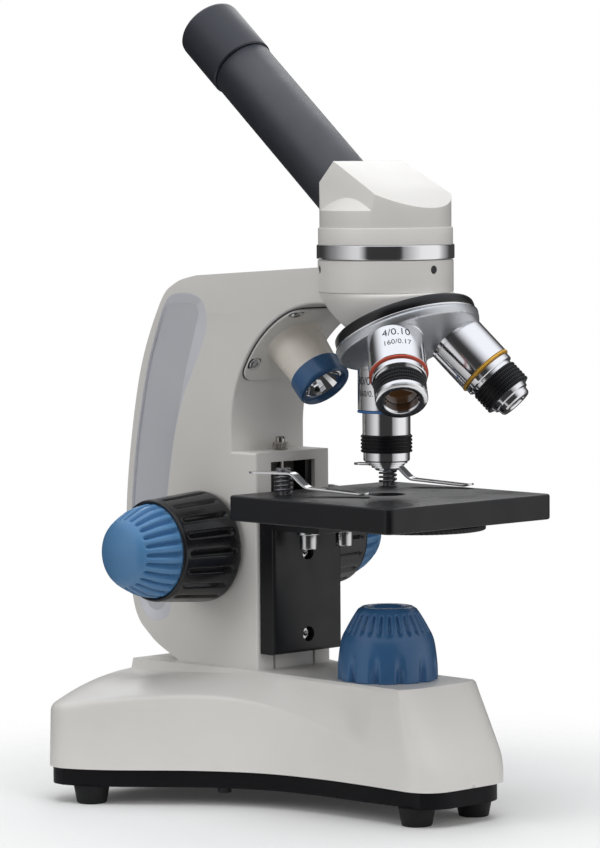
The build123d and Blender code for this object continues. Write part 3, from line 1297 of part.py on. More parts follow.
# The finished part stands with the middle of its outline over the origin
boxes = [shape.bounding_box() for shape in NODES.values()]
shift_x = -(min(box.min.X for box in boxes) + max(box.max.X for box in boxes)) / 2
shift_y = -(min(box.min.Y for box in boxes) + max(box.max.Y for box in boxes)) / 2
print("optical axis stands at", round(shift_x, 3), round(shift_y, 3))
os.makedirs("parts", exist_ok=True)
for name, shape in NODES.items():
    export_step(Pos(shift_x, shift_y, 0) * shape, f"parts/{name}.step")
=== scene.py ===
import logging
import math
from dataclasses import dataclass
from enum import Enum, auto
from typing import Callable, Sequence

import bmesh
import bpy
from mathutils import Matrix, Vector


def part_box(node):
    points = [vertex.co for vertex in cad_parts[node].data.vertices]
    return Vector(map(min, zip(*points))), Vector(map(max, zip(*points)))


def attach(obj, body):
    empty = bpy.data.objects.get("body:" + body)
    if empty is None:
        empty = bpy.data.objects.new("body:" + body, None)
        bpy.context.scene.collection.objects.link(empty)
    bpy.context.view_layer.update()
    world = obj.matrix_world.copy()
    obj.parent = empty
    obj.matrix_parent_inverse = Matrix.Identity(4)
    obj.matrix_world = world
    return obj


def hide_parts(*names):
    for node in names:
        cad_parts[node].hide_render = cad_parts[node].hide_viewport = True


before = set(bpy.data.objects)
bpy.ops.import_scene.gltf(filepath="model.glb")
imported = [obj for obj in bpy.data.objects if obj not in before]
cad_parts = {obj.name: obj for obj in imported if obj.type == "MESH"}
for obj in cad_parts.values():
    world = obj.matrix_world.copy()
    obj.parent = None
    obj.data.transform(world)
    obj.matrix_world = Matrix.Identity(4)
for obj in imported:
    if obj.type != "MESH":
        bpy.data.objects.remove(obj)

LOG = logging.getLogger("microscope")
MM = 0.001
# In millimetres: how far a cutting body runs past its cut, and how close points and edges are merged.
OVERRUN = 1.0
WELD = 1e-4
SLIVER = 1e-5
OVERHEAD = Vector((0.0, 0.0, 1000.0))
Pair = tuple[float, float]
Line = tuple[Pair, ...]
Row = tuple[float, ...]
Point = tuple[float, float, float]
Rgb = tuple[float, float, float]
Edge = bmesh.types.BMEdge
Node = bpy.types.Node
Socket = bpy.types.NodeSocket
Tree = bpy.types.NodeTree


def srgb(red: int, green: int, blue: int) -> Rgb:
    """Linear colour from display values of 0 to 255."""
    shares = (value / 255 for value in (red, green, blue))
    return tuple(share / 12.92 if share <= 0.04 else ((share + 0.055) / 1.055) ** 2.4 for share in shares)


def axis_x() -> float:
    """Place of the optical axis along X, in millimetres."""
    low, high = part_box("head_ring")
    return (low.x + high.x) / 2 / MM


def set_inputs(tree: Tree, node: Node, inputs: dict[str | int, object]) -> None:
    """Give a node's inputs their values, or link them to the sockets given."""
    for name, value in inputs.items():
        if isinstance(value, Socket):
            tree.links.new(value, node.inputs[name])
        else:
            node.inputs[name].default_value = value


def new_node(tree: Tree, kind: str, inputs: dict[str | int, object] | None = None, **settings: object) -> Node:
    """Add a shader node.

    Args:
        tree: Tree that gets it.
        kind: Type of the node, without its common prefix.
        inputs: Values or sockets for its inputs.
        settings: Values of its properties.

    Returns:
        The node.
    """
    node = tree.nodes.new(f"ShaderNode{kind}")
    for name, value in settings.items():
        setattr(node, name, value)
    set_inputs(tree, node, inputs or {})
    return node


class Grain(Enum):
    """Kinds of fine surface relief."""

    SPRAYED = auto()
    MOULDED = auto()
    TURNED = auto()
    BRUSHED = auto()
    RUBBED = auto()
    CLEAR = auto()


@dataclass(frozen=True)
class Finish:
    """One real-world finish and the shader that shows it."""

    name: str
    colour: Rgb
    shade: Rgb
    roughness: float
    metallic: float = 0.0
    grain: Grain = Grain.SPRAYED
    grain_mm: float = 0.6
    relief: float = 0.08
    spread: float = 0.06
    coat: float = 0.0
    sheen: float = 0.5
    transmission: float = 0.0
    axis: Point = (0.0, 0.0, 1.0)

    def material(self) -> bpy.types.Material:
        """The finish as a material, made once."""
        made = bpy.data.materials.get(self.name)
        return made if made else self._make()

    def _make(self) -> bpy.types.Material:
        """Build the shader: mottled colour, uneven gloss and fine relief."""
        material = bpy.data.materials.new(self.name)
        material.use_nodes = True
        tree = material.node_tree
        shader = tree.nodes["Principled BSDF"]
        set_inputs(tree, shader, {"Metallic": self.metallic, "Coat Weight": self.coat, "Coat Roughness": 0.12,
                                  "Specular IOR Level": self.sheen, "Transmission Weight": self.transmission})
        place = new_node(tree, "TexCoord").outputs["Object"]
        self._colour(tree, shader, place)
        self._gloss(tree, shader, place)
        self._relief(tree, shader, place)
        return material

    def _noise(self, tree: Tree, vector: Socket, scale: float, detail: float) -> Socket:
        """Noise with so many cells to the metre and so many octaves."""
        return new_node(tree, "TexNoise", {"Scale": scale, "Detail": detail, "Vector": vector}).outputs["Fac"]

    def _patches(self, tree: Tree, noise: Socket, low: float = 0.0, high: float = 1.0) -> Socket:
        """Noise drawn out to the whole range from low to high."""
        return new_node(tree, "MapRange", {"From Min": 0.3, "From Max": 0.7, "To Min": low, "To Max": high,
                                           "Value": noise}).outputs["Result"]

    def _colour(self, tree: Tree, shader: Node, place: Socket) -> None:
        """Slow mottle between the two tones."""
        patches = self._patches(tree, self._noise(tree, place, 22.0, 5.0))
        mix = new_node(tree, "Mix", {"A": (*self.colour, 1.0), "B": (*self.shade, 1.0), "Factor": patches},
                       data_type="RGBA")
        set_inputs(tree, shader, {"Base Color": mix.outputs["Result"]})

    def _gloss(self, tree: Tree, shader: Node, place: Socket) -> None:
        """Gloss that varies with handling marks."""
        marks = self._noise(tree, place, 75.0, 6.0)
        least, most = max(0.01, self.roughness - self.spread), min(1.0, self.roughness + self.spread)
        set_inputs(tree, shader, {"Roughness": self._patches(tree, marks, least, most)})

    def _relief(self, tree: Tree, shader: Node, place: Socket) -> None:
        """Fine bump in the manner of the grain."""
        scale = 1.0 / (self.grain_mm * MM)
        if self.grain is Grain.CLEAR:
            return
        if self.grain is Grain.TURNED:
            along = new_node(tree, "VectorMath", {0: place, 1: self.axis}, operation="DOT_PRODUCT")
            height = self._noise(tree, along.outputs["Value"], scale, 2.0)
        elif self.grain is Grain.BRUSHED:
            along = tuple(0.04 if abs(a) > 0.5 else 1.0 for a in self.axis)
            stretch = new_node(tree, "Mapping", {"Scale": along, "Vector": place})
            height = self._noise(tree, stretch.outputs["Vector"], scale, 3.0)
        elif self.grain is Grain.MOULDED:
            height = new_node(tree, "TexVoronoi", {"Scale": scale, "Vector": place}).outputs["Distance"]
        else:
            height = self._noise(tree, place, scale, 3.0)
        bump = new_node(tree, "Bump", {"Strength": self.relief, "Distance": 0.2 * self.grain_mm * MM,
                                       "Height": height})
        set_inputs(tree, shader, {"Normal": bump.outputs["Normal"]})


# Painted light: the casting's white made brighter and warmer for the lamp tube, lifting it out of the shade of
# the arch.
WHITE_PAINTED_LIGHT = Finish("white_paint_painted_light", srgb(248, 241, 231), srgb(244, 237, 227), 0.3, relief=0.1, coat=0.12)
WHITE = Finish("warm_white_paint", srgb(233, 231, 228), srgb(227, 225, 221), 0.36, relief=0.1, coat=0.12)
# Painted light: the accent grey made paler for the sloping panel rims, to paint in the light they catch and the
# highlight along their edge.
ACCENT_RIM_PAINTED_LIGHT = Finish("accent_grey_painted_highlight", srgb(222, 224, 230), srgb(215, 217, 224), 0.34, relief=0.1, coat=0.12)
ACCENT = Finish("accent_grey_paint", srgb(204, 206, 211), srgb(195, 198, 204), 0.34, relief=0.1, coat=0.12)
BLACK_COAT = Finish("black_coat", srgb(23, 23, 26), srgb(18, 18, 21), 0.36, grain_mm=0.5, relief=0.22,
                    spread=0.08, sheen=0.35)
TUBE_COAT = Finish("tube_satin_black", srgb(37, 40, 49), srgb(30, 33, 42), 0.42, grain_mm=0.35, relief=0.05,
                   coat=0.05, sheen=0.9)
BLACK_PLASTIC = Finish("black_plastic", srgb(22, 22, 25), srgb(17, 17, 20), 0.34, grain=Grain.MOULDED,
                       grain_mm=0.5, relief=0.1, sheen=0.3)
PLATE_BLACK = Finish("plate_black", srgb(22, 21, 24), srgb(17, 16, 19), 0.45, grain=Grain.MOULDED, grain_mm=0.6,
                     relief=0.15, sheen=0.12)
RUBBER = Finish("foot_rubber", srgb(22, 22, 24), srgb(17, 17, 19), 0.62, grain=Grain.RUBBED, grain_mm=0.8,
                relief=0.3, sheen=0.3)
CHROME = Finish("chrome", (0.79, 0.79, 0.8), (0.74, 0.74, 0.76), 0.08, 1.0, Grain.TURNED, 0.25, 0.04, 0.025)
SATIN = Finish("satin_silver", (0.8, 0.82, 0.86), (0.74, 0.76, 0.8), 0.38, 1.0, Grain.RUBBED, 0.12, 0.12)
STEEL = Finish("bright_steel", (0.66, 0.66, 0.66), (0.56, 0.56, 0.57), 0.2, 1.0, Grain.BRUSHED, 0.3, 0.12)
NICKEL = Finish("nickel", (0.42, 0.4, 0.38), (0.34, 0.32, 0.3), 0.2, 1.0, Grain.TURNED, 0.3, 0.1)
SPRING = Finish("spring_steel", (0.2, 0.2, 0.21), (0.12, 0.12, 0.13), 0.22, 1.0, Grain.BRUSHED, 0.2, 0.1)
BRASS = Finish("turned_brass", (0.62, 0.5, 0.31), (0.52, 0.41, 0.25), 0.24, 1.0, Grain.TURNED, 0.3, 0.1)
BLUE_KNOB = Finish("blue_knob", srgb(84, 138, 186), srgb(74, 127, 176), 0.32, grain=Grain.MOULDED, grain_mm=0.5,
                   relief=0.06, coat=0.2)
BLUE_LAMP = Finish("blue_lamp", srgb(90, 140, 184), srgb(80, 128, 173), 0.3, grain=Grain.MOULDED, grain_mm=0.5,
                   relief=0.06, coat=0.35)
RED_BAND = Finish("red_band", srgb(150, 66, 58), srgb(136, 56, 50), 0.35)
YELLOW_BAND = Finish("yellow_band", srgb(206, 150, 62), srgb(192, 136, 52), 0.35)
BLUE_BAND = Finish("blue_band", srgb(84, 124, 160), srgb(72, 110, 146), 0.35)
GLASS = Finish("clear_glass", (0.96, 0.98, 0.98), (0.93, 0.96, 0.97), 0.03, grain=Grain.CLEAR, transmission=0.9,
               spread=0.01)
AMBER = Finish("amber_lens", (0.12, 0.05, 0.015), (0.07, 0.03, 0.008), 0.06, grain=Grain.CLEAR, coat=0.6,
               spread=0.02)
MIRROR = Finish("reflector", (0.85, 0.86, 0.88), (0.8, 0.81, 0.84), 0.07, 1.0, Grain.TURNED, 0.4, 0.05, 0.03)
DIODE = Finish("diode", (0.92, 0.9, 0.72), (0.88, 0.85, 0.62), 0.15, grain=Grain.CLEAR, coat=0.6)
BOARD = Finish("board", srgb(30, 92, 58), srgb(24, 80, 50), 0.4, grain=Grain.MOULDED, grain_mm=0.4)
SLEEVE = Finish("cell_sleeve", srgb(66, 74, 84), srgb(52, 58, 68), 0.3, coat=0.3)
KNOB_BLACK = Finish("knob_black", srgb(24, 24, 27), srgb(19, 19, 22), 0.25, grain=Grain.MOULDED, grain_mm=0.45,
                    relief=0.06, coat=0.15, sheen=0.35)
EYE_BLACK = Finish("eye_end_black", srgb(43, 45, 54), srgb(36, 38, 47), 0.34, grain=Grain.MOULDED, grain_mm=0.4,
                   relief=0.1)
CLIP_STEEL = Finish("polished_strip", (0.72, 0.72, 0.73), (0.62, 0.62, 0.64), 0.14, 1.0, Grain.BRUSHED, 0.25,
                    0.06, 0.04)
INK = Finish("engraved_ink", srgb(46, 46, 50), srgb(38, 38, 42), 0.5)

SOLIDS: dict[Finish, tuple[str, ...]] = {
    WHITE: ("base_shell", "arm_shell", "nosepiece_mount", "lamp_plate", "lamp_housing", "head_housing"),
    PLATE_BLACK: ("bottom_plate",),
    RUBBER: ("rubber_feet",),
    BLACK_COAT: ("base_screws", "guide_rails", "carriage_block", "stage_bracket", "stage_plate",
                 "objective_grips"),
    BLACK_PLASTIC: ("battery_tray", "battery_door", "power_switch", "head_set_screws", "coarse_knobs",
                    "disc_diaphragm", "turret_ring", "eyepiece_cap"),
    SLEEVE: ("batteries",),
    ACCENT: ("accent_panels",),
    BRASS: ("focus_bushes", "pinion", "rack"),
    NICKEL: ("stop_screw",),
    STEEL: ("lamp_screws", "coarse_shaft", "fine_shaft", "stage_screws", "diaphragm_pivot", "clip_left",
            "clip_left_post", "clip_right", "clip_right_post"),
    BLUE_LAMP: ("lamp_bezel", "illuminator_cap"),
    MIRROR: ("lamp_reflector",),
    DIODE: ("lamp_led",),
    GLASS: ("illuminator_lens", "prism", "eyepiece_lens"),
    BOARD: ("illuminator_board",),
    BLUE_KNOB: ("fine_knobs",),
    SPRING: ("clip_left_spring", "clip_right_spring"),
    SATIN: ("turret_body",),
    CHROME: ("objective_low", "objective_mid", "objective_high", "sprung_nose", "head_ring",
             "eyepiece_barrel"),
    RED_BAND: ("band_low",),
    YELLOW_BAND: ("band_mid",),
    BLUE_BAND: ("band_high",),
    AMBER: ("objective_lenses",),
    TUBE_COAT: ("eyepiece_tube",),
}


@dataclass(frozen=True)
class Studio:
    """Floor, soft lights and the camera of the photograph."""

    eye_mm: Point = (1082.09, -1069.39, 260.22)
    yaw: float = 46.6348
    pitch: float = -0.06865
    roll: float = -0.0067979
    focal_px: float = 3828.9
    frame_px: tuple[int, int] = (600, 848)
    floor_r: Pair = (0.075, 0.27)
    bands: Line = ((0.0, 0.04), (0.03, 0.06), (0.12, 0.3), (0.213, 0.75), (0.25, 0.8), (0.274, 0.35),
                   (0.288, 0.04), (0.449, 0.04), (0.46, 0.35), (0.55, 0.95), (0.652, 1.0), (0.686, 0.5),
                   (0.744, 0.06), (1.0, 0.04))

    def build(self) -> None:
        """Set up camera, floor, lamps and surroundings."""
        self.camera()
        self.floor()
        self.lamps()
        self.surroundings()
        settings = bpy.context.scene.view_settings
        settings.view_transform = "Standard"
        settings.look = "None"

    def basis(self) -> tuple[Vector, Vector, Vector]:
        """Right, up and forward directions of the camera."""
        yaw = math.radians(self.yaw)
        forward = Vector((-math.sin(yaw) * math.cos(self.pitch), math.cos(yaw) * math.cos(self.pitch),
                          math.sin(self.pitch)))
        right = forward.cross(Vector((0, 0, 1))).normalized()
        up = right.cross(forward)
        turned = math.cos(self.roll) * right + math.sin(self.roll) * up
        return turned, math.cos(self.roll) * up - math.sin(self.roll) * right, forward

    def camera(self) -> None:
        """Camera at the fitted place of the photograph."""
        data = bpy.data.cameras.new("camera")
        data.sensor_width = 36.0
        data.lens = self.focal_px / max(self.frame_px) * data.sensor_width
        data.clip_end = 20.0
        camera = bpy.data.objects.new("camera", data)
        right, up, forward = self.basis()
        turn = Matrix((right, up, -forward)).transposed().to_4x4()
        eye = Vector(self.eye_mm) + Vector((axis_x(), 0, 0))
        camera.matrix_world = Matrix.Translation(eye * MM) @ turn
        bpy.context.scene.collection.objects.link(camera)
        bpy.context.scene.camera = camera

    def floor(self) -> None:
        """Plain pale floor that fades out into the white behind it."""
        mesh = bmesh.new()
        bmesh.ops.create_circle(mesh, cap_ends=True, radius=self.floor_r[1], segments=96)
        data = bpy.data.meshes.new("floor")
        mesh.to_mesh(data)
        mesh.free()
        floor = bpy.data.objects.new("floor", data)
        material = bpy.data.materials.new("floor_pale")
        material.use_nodes = True
        tree = material.node_tree
        place = new_node(tree, "TexCoord").outputs["Object"]
        away = new_node(tree, "VectorMath", {0: place}, operation="LENGTH")
        near, far = self.floor_r
        fade = new_node(tree, "MapRange", {"From Min": near, "From Max": far, "To Min": 1.0, "To Max": 0.0,
                                           "Value": away.outputs["Value"]}, interpolation_type="SMOOTHSTEP")
        set_inputs(tree, tree.nodes["Principled BSDF"],
                   {"Base Color": (0.92, 0.92, 0.92, 1.0), "Roughness": 0.75, "Specular IOR Level": 0.1,
                    "Emission Color": (1.0, 1.0, 1.0, 1.0), "Emission Strength": 0.03,
                    "Alpha": fade.outputs["Result"]})
        data.materials.append(material)
        bpy.context.scene.collection.objects.link(floor)

    def lamps(self) -> None:
        """Large soft lamps: a cool one overhead and weaker ones round it."""
        self.lamp("overhead", (0.15, -0.1, 1.35), (0.0, 0.0, 0.14), 0.9, 9.0, (0.95, 0.975, 1.0))
        self.lamp("front", (1.25, -0.2, 0.55), (0.0, 0.0, 0.14), 0.7, 4.2, (1.0, 0.99, 0.975))
        self.lamp("side", (-0.5, -1.35, 0.7), (0.0, 0.0, 0.14), 0.8, 5.2, (1.0, 0.995, 0.985))
        self.lamp("rear", (-0.9, 0.9, 0.9), (0.0, 0.0, 0.18), 0.8, 3.0, (1.0, 1.0, 1.0))

    def lamp(self, name: str, at: Point, to: Point, size: float, watts: float, colour: Rgb) -> None:
        """One square soft lamp.

        Args:
            name: Name of the lamp.
            at: Place in metres.
            to: Point it faces.
            size: Side in metres.
            watts: Power.
            colour: Tint of the light.
        """
        data = bpy.data.lights.new(name, "AREA")
        data.color = colour
        data.size = size
        data.energy = watts
        lamp = bpy.data.objects.new(name, data)
        aim = (Vector(to) - Vector(at)).to_track_quat("-Z", "Y")
        lamp.matrix_world = Matrix.Translation(at) @ aim.to_matrix().to_4x4()
        lamp.visible_glossy = name == "rear"
        bpy.context.scene.collection.objects.link(lamp)

    def surroundings(self) -> None:
        """Even white light, with darker sides that polished metal can mirror."""
        world = bpy.data.worlds.new("studio")
        bpy.context.scene.world = world
        world.use_nodes = True
        tree = world.node_tree
        back = tree.nodes["Background"]
        set_inputs(tree, back, {"Color": (1.0, 0.99, 0.98, 1.0), "Strength": 0.28})
        split = new_node(tree, "SeparateXYZ", {"Vector": new_node(tree, "TexCoord").outputs["Generated"]})
        turn = new_node(tree, "Math", {0: split.outputs["Y"], 1: split.outputs["X"]}, operation="ARCTAN2")
        ramp = new_node(tree, "MapRange", {"From Min": -math.pi, "From Max": math.pi,
                                           "Value": turn.outputs["Value"]})
        bands = new_node(tree, "ValToRGB", {"Fac": ramp.outputs["Result"]})
        for index, (at, value) in enumerate(self.bands):
            stop = bands.color_ramp.elements[index] if index < 2 else bands.color_ramp.elements.new(at)
            stop.position = at
            stop.color = (value, value, value, 1.0)
        above = new_node(tree, "MapRange", {"From Min": 0.3, "From Max": 0.8, "Value": split.outputs["Z"]},
                         interpolation_type="SMOOTHSTEP")
        ceiling = new_node(tree, "Mix", {"A": bands.outputs["Color"], "B": (1.1, 1.13, 1.18, 1.0),
                                         "Factor": above.outputs["Result"]}, data_type="RGBA")
        mirrored = new_node(tree, "Background", {"Color": ceiling.outputs["Result"]})
        ray = new_node(tree, "LightPath")
        choose = new_node(tree, "MixShader", {"Fac": ray.outputs["Is Glossy Ray"],
                                              1: back.outputs["Background"], 2: mirrored.outputs["Background"]})
        seen = new_node(tree, "Background", {"Color": (1.0, 1.0, 1.0, 1.0)})
        show = new_node(tree, "MixShader", {"Fac": ray.outputs["Is Camera Ray"], 1: choose.outputs["Shader"],
                                            2: seen.outputs["Background"]})
        set_inputs(tree, tree.nodes["World Output"], {"Surface": show.outputs["Shader"]})


class Form:
    """A mesh being worked, in millimetres about the optical axis."""

    def __init__(self) -> None:
        """Start with an empty mesh."""
        self.mesh = bmesh.new()
        self.columns: dict[int, list[Edge]] = {}

    @classmethod
    def turned(cls, outline: Sequence[Pair], steps: int = 96) -> "Form":
        """Body of revolution about Z.

        Args:
            outline: Corners as radius and height. Both ends lie on the axis, or the outline closes on itself.
            steps: Number of steps in the full turn.

        Returns:
            The closed body.
        """
        form = cls()
        verts = [form.mesh.verts.new((radius, 0.0, height)) for radius, height in outline]
        pairs = list(zip(verts, verts[1:]))
        if outline[0][0] > 0 or outline[-1][0] > 0:
            pairs.append((verts[-1], verts[0]))
        edges = [form.mesh.edges.new(pair) for pair in pairs]
        bmesh.ops.spin(form.mesh, geom=verts + edges, cent=(0, 0, 0), axis=(0, 0, 1), dvec=(0, 0, 0),
                       angle=math.tau, steps=steps, use_merge=True, use_duplicate=False)
        return form.clean()

    @classmethod
    def rod(cls, radius: float, low: float, high: float, steps: int = 96) -> "Form":
        """Round bar about Z from one height to another."""
        return cls.turned([(0, low), (radius, low), (radius, high), (0, high)], steps)

    @classmethod
    def ring(cls, radii: Pair, heights: Pair, chamfer: float, steps: int = 128) -> "Form":
        """Ring about Z whose two outer edges are chamfered."""
        (inner, outer), (low, high) = radii, heights
        return cls.turned([(inner, low), *corners(outer, low, (-chamfer, 0), (0, chamfer)),
                           *corners(outer, high, (0, -chamfer), (-chamfer, 0)), (inner, high)], steps)

    @classmethod
    def block(cls, x: Pair, y: Pair, z: Pair) -> "Form":
        """Block between two places along each axis."""
        return cls.slab([(x[0], y[0]), (x[1], y[0]), (x[1], y[1]), (x[0], y[1])], *z)

    @classmethod
    def slab(cls, outline: Sequence[Pair], low: float, high: float) -> "Form":
        """Flat outline in X and Y given a height.

        Args:
            outline: Corners in order round the outline.
            low: Height of the underside.
            high: Height of the top.

        Returns:
            The closed body.
        """
        form = cls()
        face = form.mesh.faces.new([form.mesh.verts.new((x, y, low)) for x, y in outline])
        made = bmesh.ops.extrude_face_region(form.mesh, geom=[face], use_keep_orig=True)["geom"]
        lifted = [item for item in made if isinstance(item, bmesh.types.BMVert)]
        bmesh.ops.translate(form.mesh, vec=(0, 0, high - low), verts=lifted)
        return form.clean()

    @classmethod
    def upright(cls, outline: Sequence[Pair], half: float) -> "Form":
        """Side view in X and Z given a width.

        Args:
            outline: Corners in order round the side view.
            half: Half of the width, to each side of the middle plane.

        Returns:
            The closed body.
        """
        return cls.slab(outline, -half, half).place(Matrix.Rotation(math.pi / 2, 4, "X"))

    @classmethod
    def skin(cls, rows: Sequence[Sequence[Vector]]) -> "Form":
        """Surface through rows of points.

        Args:
            rows: Rows of equally many points.

        Returns:
            The open surface, with its edges from row to row kept by column.
        """
        form = cls()
        across, along = len(rows[0]) - 1, len(rows) - 1
        bmesh.ops.create_grid(form.mesh, x_segments=across, y_segments=along, size=1.0)
        place = {vert: (round((vert.co.x + 1) / 2 * across), round((vert.co.y + 1) / 2 * along))
                 for vert in form.mesh.verts}
        for edge in form.mesh.edges:
            first, second = (place[vert][0] for vert in edge.verts)
            if first == second:
                form.columns.setdefault(first, []).append(edge)
        for vert, (column, row) in place.items():
            vert.co = rows[row][column]
        return form

    def clean(self) -> "Form":
        """Merge doubles, drop slivers and turn the faces outwards."""
        bmesh.ops.remove_doubles(self.mesh, verts=self.mesh.verts, dist=WELD)
        bmesh.ops.dissolve_degenerate(self.mesh, edges=self.mesh.edges, dist=SLIVER)
        bmesh.ops.recalc_face_normals(self.mesh, faces=self.mesh.faces)
        return self

    def capped(self) -> "Form":
        """Close the open ends."""
        bmesh.ops.remove_doubles(self.mesh, verts=self.mesh.verts, dist=WELD)
        rims = [edge for edge in self.mesh.edges if edge.is_boundary]
        bmesh.ops.holes_fill(self.mesh, edges=rims, sides=0)
        return self.clean()

    def place(self, matrix: Matrix) -> "Form":
        """Move and turn the body."""
        bmesh.ops.transform(self.mesh, matrix=matrix, verts=self.mesh.verts)
        return self

    def move(self, x: float = 0.0, y: float = 0.0, z: float = 0.0) -> "Form":
        """Shift the body."""
        return self.place(Matrix.Translation((x, y, z)))

    def shape(self, move: Callable[[Vector], Vector]) -> "Form":
        """Move every point by a rule."""
        for vert in self.mesh.verts:
            vert.co = move(vert.co)
        return self

    def soften(self, width: float, segments: int = 3, angle: float = 35.0,
               chosen: Callable[[Edge], bool] | None = None) -> "Form":
        """Round the sharp edges.

        Args:
            width: Width of the rounding.
            segments: Facets across it.
            angle: Least angle between the faces, in degrees.
            chosen: Rule that picks edges, or None for all sharp ones.

        Returns:
            The form itself.
        """
        least = math.radians(angle)
        edges = [edge for edge in self.mesh.edges if edge.is_manifold and edge.calc_face_angle(0.0) > least
                 and (chosen is None or chosen(edge))]
        return self.round_edges(edges, width, segments)

    def round_edges(self, edges: Sequence[Edge], width: float, segments: int = 3) -> "Form":
        """Round the given edges."""
        bmesh.ops.bevel(self.mesh, geom=list(edges), offset=width, offset_type="OFFSET", affect="EDGES",
                        segments=segments, profile=0.5, material=-1, clamp_overlap=True)
        return self

    def add(self, other: "Form") -> "Form":
        """Take in another body without joining the surfaces."""
        spare = bpy.data.meshes.new("spare")
        other.mesh.to_mesh(spare)
        other.mesh.free()
        self.mesh.from_mesh(spare)
        bpy.data.meshes.remove(spare)
        return self

    def copy(self) -> "Form":
        """A second body of the same shape."""
        twin = Form()
        twin.mesh.free()
        twin.mesh = self.mesh.copy()
        return twin

    def flipped(self) -> "Form":
        """Mirror image across the middle plane."""
        self.place(Matrix.Scale(-1, 4, (0, 1, 0)))
        bmesh.ops.reverse_faces(self.mesh, faces=self.mesh.faces)
        return self

    def both_sides(self) -> "Form":
        """The body and its mirror image across the middle plane."""
        return self.add(self.copy().flipped())

    def cut(self, tool: "Form") -> "Form":
        """Take the tool's space away."""
        return self._combine(tool, "DIFFERENCE")

    def join(self, tool: "Form") -> "Form":
        """Unite with the tool."""
        return self._combine(tool, "UNION")

    def keep(self, tool: "Form") -> "Form":
        """Keep only what lies inside the tool."""
        return self._combine(tool, "INTERSECT")

    def slice(self, point: Sequence[float], normal: Sequence[float]) -> "Form":
        """Cut by a plane, drop the side that the normal points to, and close the cut."""
        cut = bmesh.ops.bisect_plane(self.mesh, geom=self.parts(), dist=WELD, plane_co=point, plane_no=normal,
                                     clear_outer=True)["geom_cut"]
        rim = [item for item in cut if isinstance(item, Edge)]
        bmesh.ops.holes_fill(self.mesh, edges=rim, sides=0)
        return self.clean()

    def parts(self) -> list[bmesh.types.BMVert | Edge | bmesh.types.BMFace]:
        """All corners, edges and faces."""
        return [*self.mesh.verts, *self.mesh.edges, *self.mesh.faces]

    def thickened(self, thick: float, outside: Vector) -> "Form":
        """Give an open sheet its thickness, on the side away from a point."""
        facing = sum(face.normal.dot(outside - face.calc_center_median()) for face in self.mesh.faces) > 0
        return self.modified("SOLIDIFY", thickness=thick, offset=-1.0 if facing else 1.0).clean()

    def modified(self, kind: str, **settings: object) -> "Form":
        """Apply a modifier.

        Args:
            kind: Type of the modifier.
            settings: Values of its properties.

        Returns:
            The form itself.
        """
        work = self._object("work")
        modifier = work.modifiers.new("work", kind)
        for name, value in settings.items():
            setattr(modifier, name, value)
        bpy.context.view_layer.update()
        seen = work.evaluated_get(bpy.context.evaluated_depsgraph_get())
        result = bpy.data.meshes.new_from_object(seen)
        self.mesh.free()
        self.mesh = bmesh.new()
        self.mesh.from_mesh(result)
        bpy.data.meshes.remove(result)
        self._discard(work)
        return self

    def _combine(self, tool: "Form", operation: str) -> "Form":
        """Exact boolean with another body."""
        other = tool._object("tool")
        self.modified("BOOLEAN", operation=operation, solver="EXACT", object=other)
        self._discard(other)
        tool.mesh.free()
        return self

    def _object(self, name: str) -> bpy.types.Object:
        """A passing object with this mesh."""
        data = bpy.data.meshes.new(name)
        self.mesh.to_mesh(data)
        made = bpy.data.objects.new(name, data)
        bpy.context.scene.collection.objects.link(made)
        return made

    @staticmethod
    def _discard(made: bpy.types.Object) -> None:
        """Remove a passing object and its mesh."""
        data = made.data
        bpy.data.objects.remove(made)
        bpy.data.meshes.remove(data)

    def piece(self, name: str, finish: Finish, body: str, slot: str, *nodes: str,
              sharp: float = 38.0) -> bpy.types.Object:
        """Finish the form as a piece of the microscope.

        Args:
            name: Name of the piece.
            finish: Finish of its surface.
            body: Moving body that carries it.
            slot: Material slot of the record; not used.
            nodes: Solids that it stands for.
            sharp: Angle in degrees above which an edge is drawn sharp.

        Returns:
            The finished object.
        """
        self.place(Matrix.Scale(MM, 4) @ Matrix.Translation((axis_x(), 0, 0)))
        data = bpy.data.meshes.new(name)
        self.mesh.to_mesh(data)
        self.mesh.free()
        data.shade_smooth()
        data.set_sharp_from_angle(angle=math.radians(sharp))
        data.materials.append(finish.material())
        made = bpy.data.objects.new(name, data)
        bpy.context.scene.collection.objects.link(made)
        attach(made, body)
        if nodes:
            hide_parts(*nodes)
        LOG.info("piece %s: %d faces", name, len(data.polygons))
        return made


def framed(origin: Sequence[float], along: Sequence[float], height: Sequence[float]) -> Matrix:
    """Matrix of a plane with its origin, its X direction and the direction of its height."""
    up = Vector(height).normalized()
    right = Vector(along)
    right = (right - right.dot(up) * up).normalized()
    turn = Matrix((right, up.cross(right), up)).transposed().to_4x4()
    return Matrix.Translation(origin) @ turn


def spread(low: float, high: float, count: int) -> list[float]:
    """Evenly spaced values from low to high."""
    return [low + (high - low) * index / (count - 1) for index in range(count)]


def ease(value: float, low: float, high: float) -> float:
    """Smooth step from 0 at low to 1 at high."""
    share = min(1.0, max(0.0, (value - low) / (high - low)))
    return share * share * (3 - 2 * share)


def curve(points: Sequence[Pair], count: int) -> list[Pair]:
    """Points along a smooth line through the given ones."""
    dense = []
    for index in range(count):
        at = index / (count - 1) * (len(points) - 1)
        span = min(int(at), len(points) - 2)
        share = at - span
        before, start = points[max(span - 1, 0)], points[span]
        end, after = points[span + 1], points[min(span + 2, len(points) - 1)]
        dense.append(tuple(
            0.5 * (2 * b + (c - a) * share + (2 * a - 5 * b + 4 * c - d) * share ** 2
                   + (3 * b - a - 3 * c + d) * share ** 3)
            for a, b, c, d in zip(before, start, end, after)))
    return dense


def loop(points: Sequence[Pair], steps: int) -> list[Pair]:
    """Points round a smooth closed line through the given ones."""
    dense = curve((points[-1], *points, points[0], points[1]), steps * (len(points) + 2) + 1)
    return dense[steps:-steps - 1]


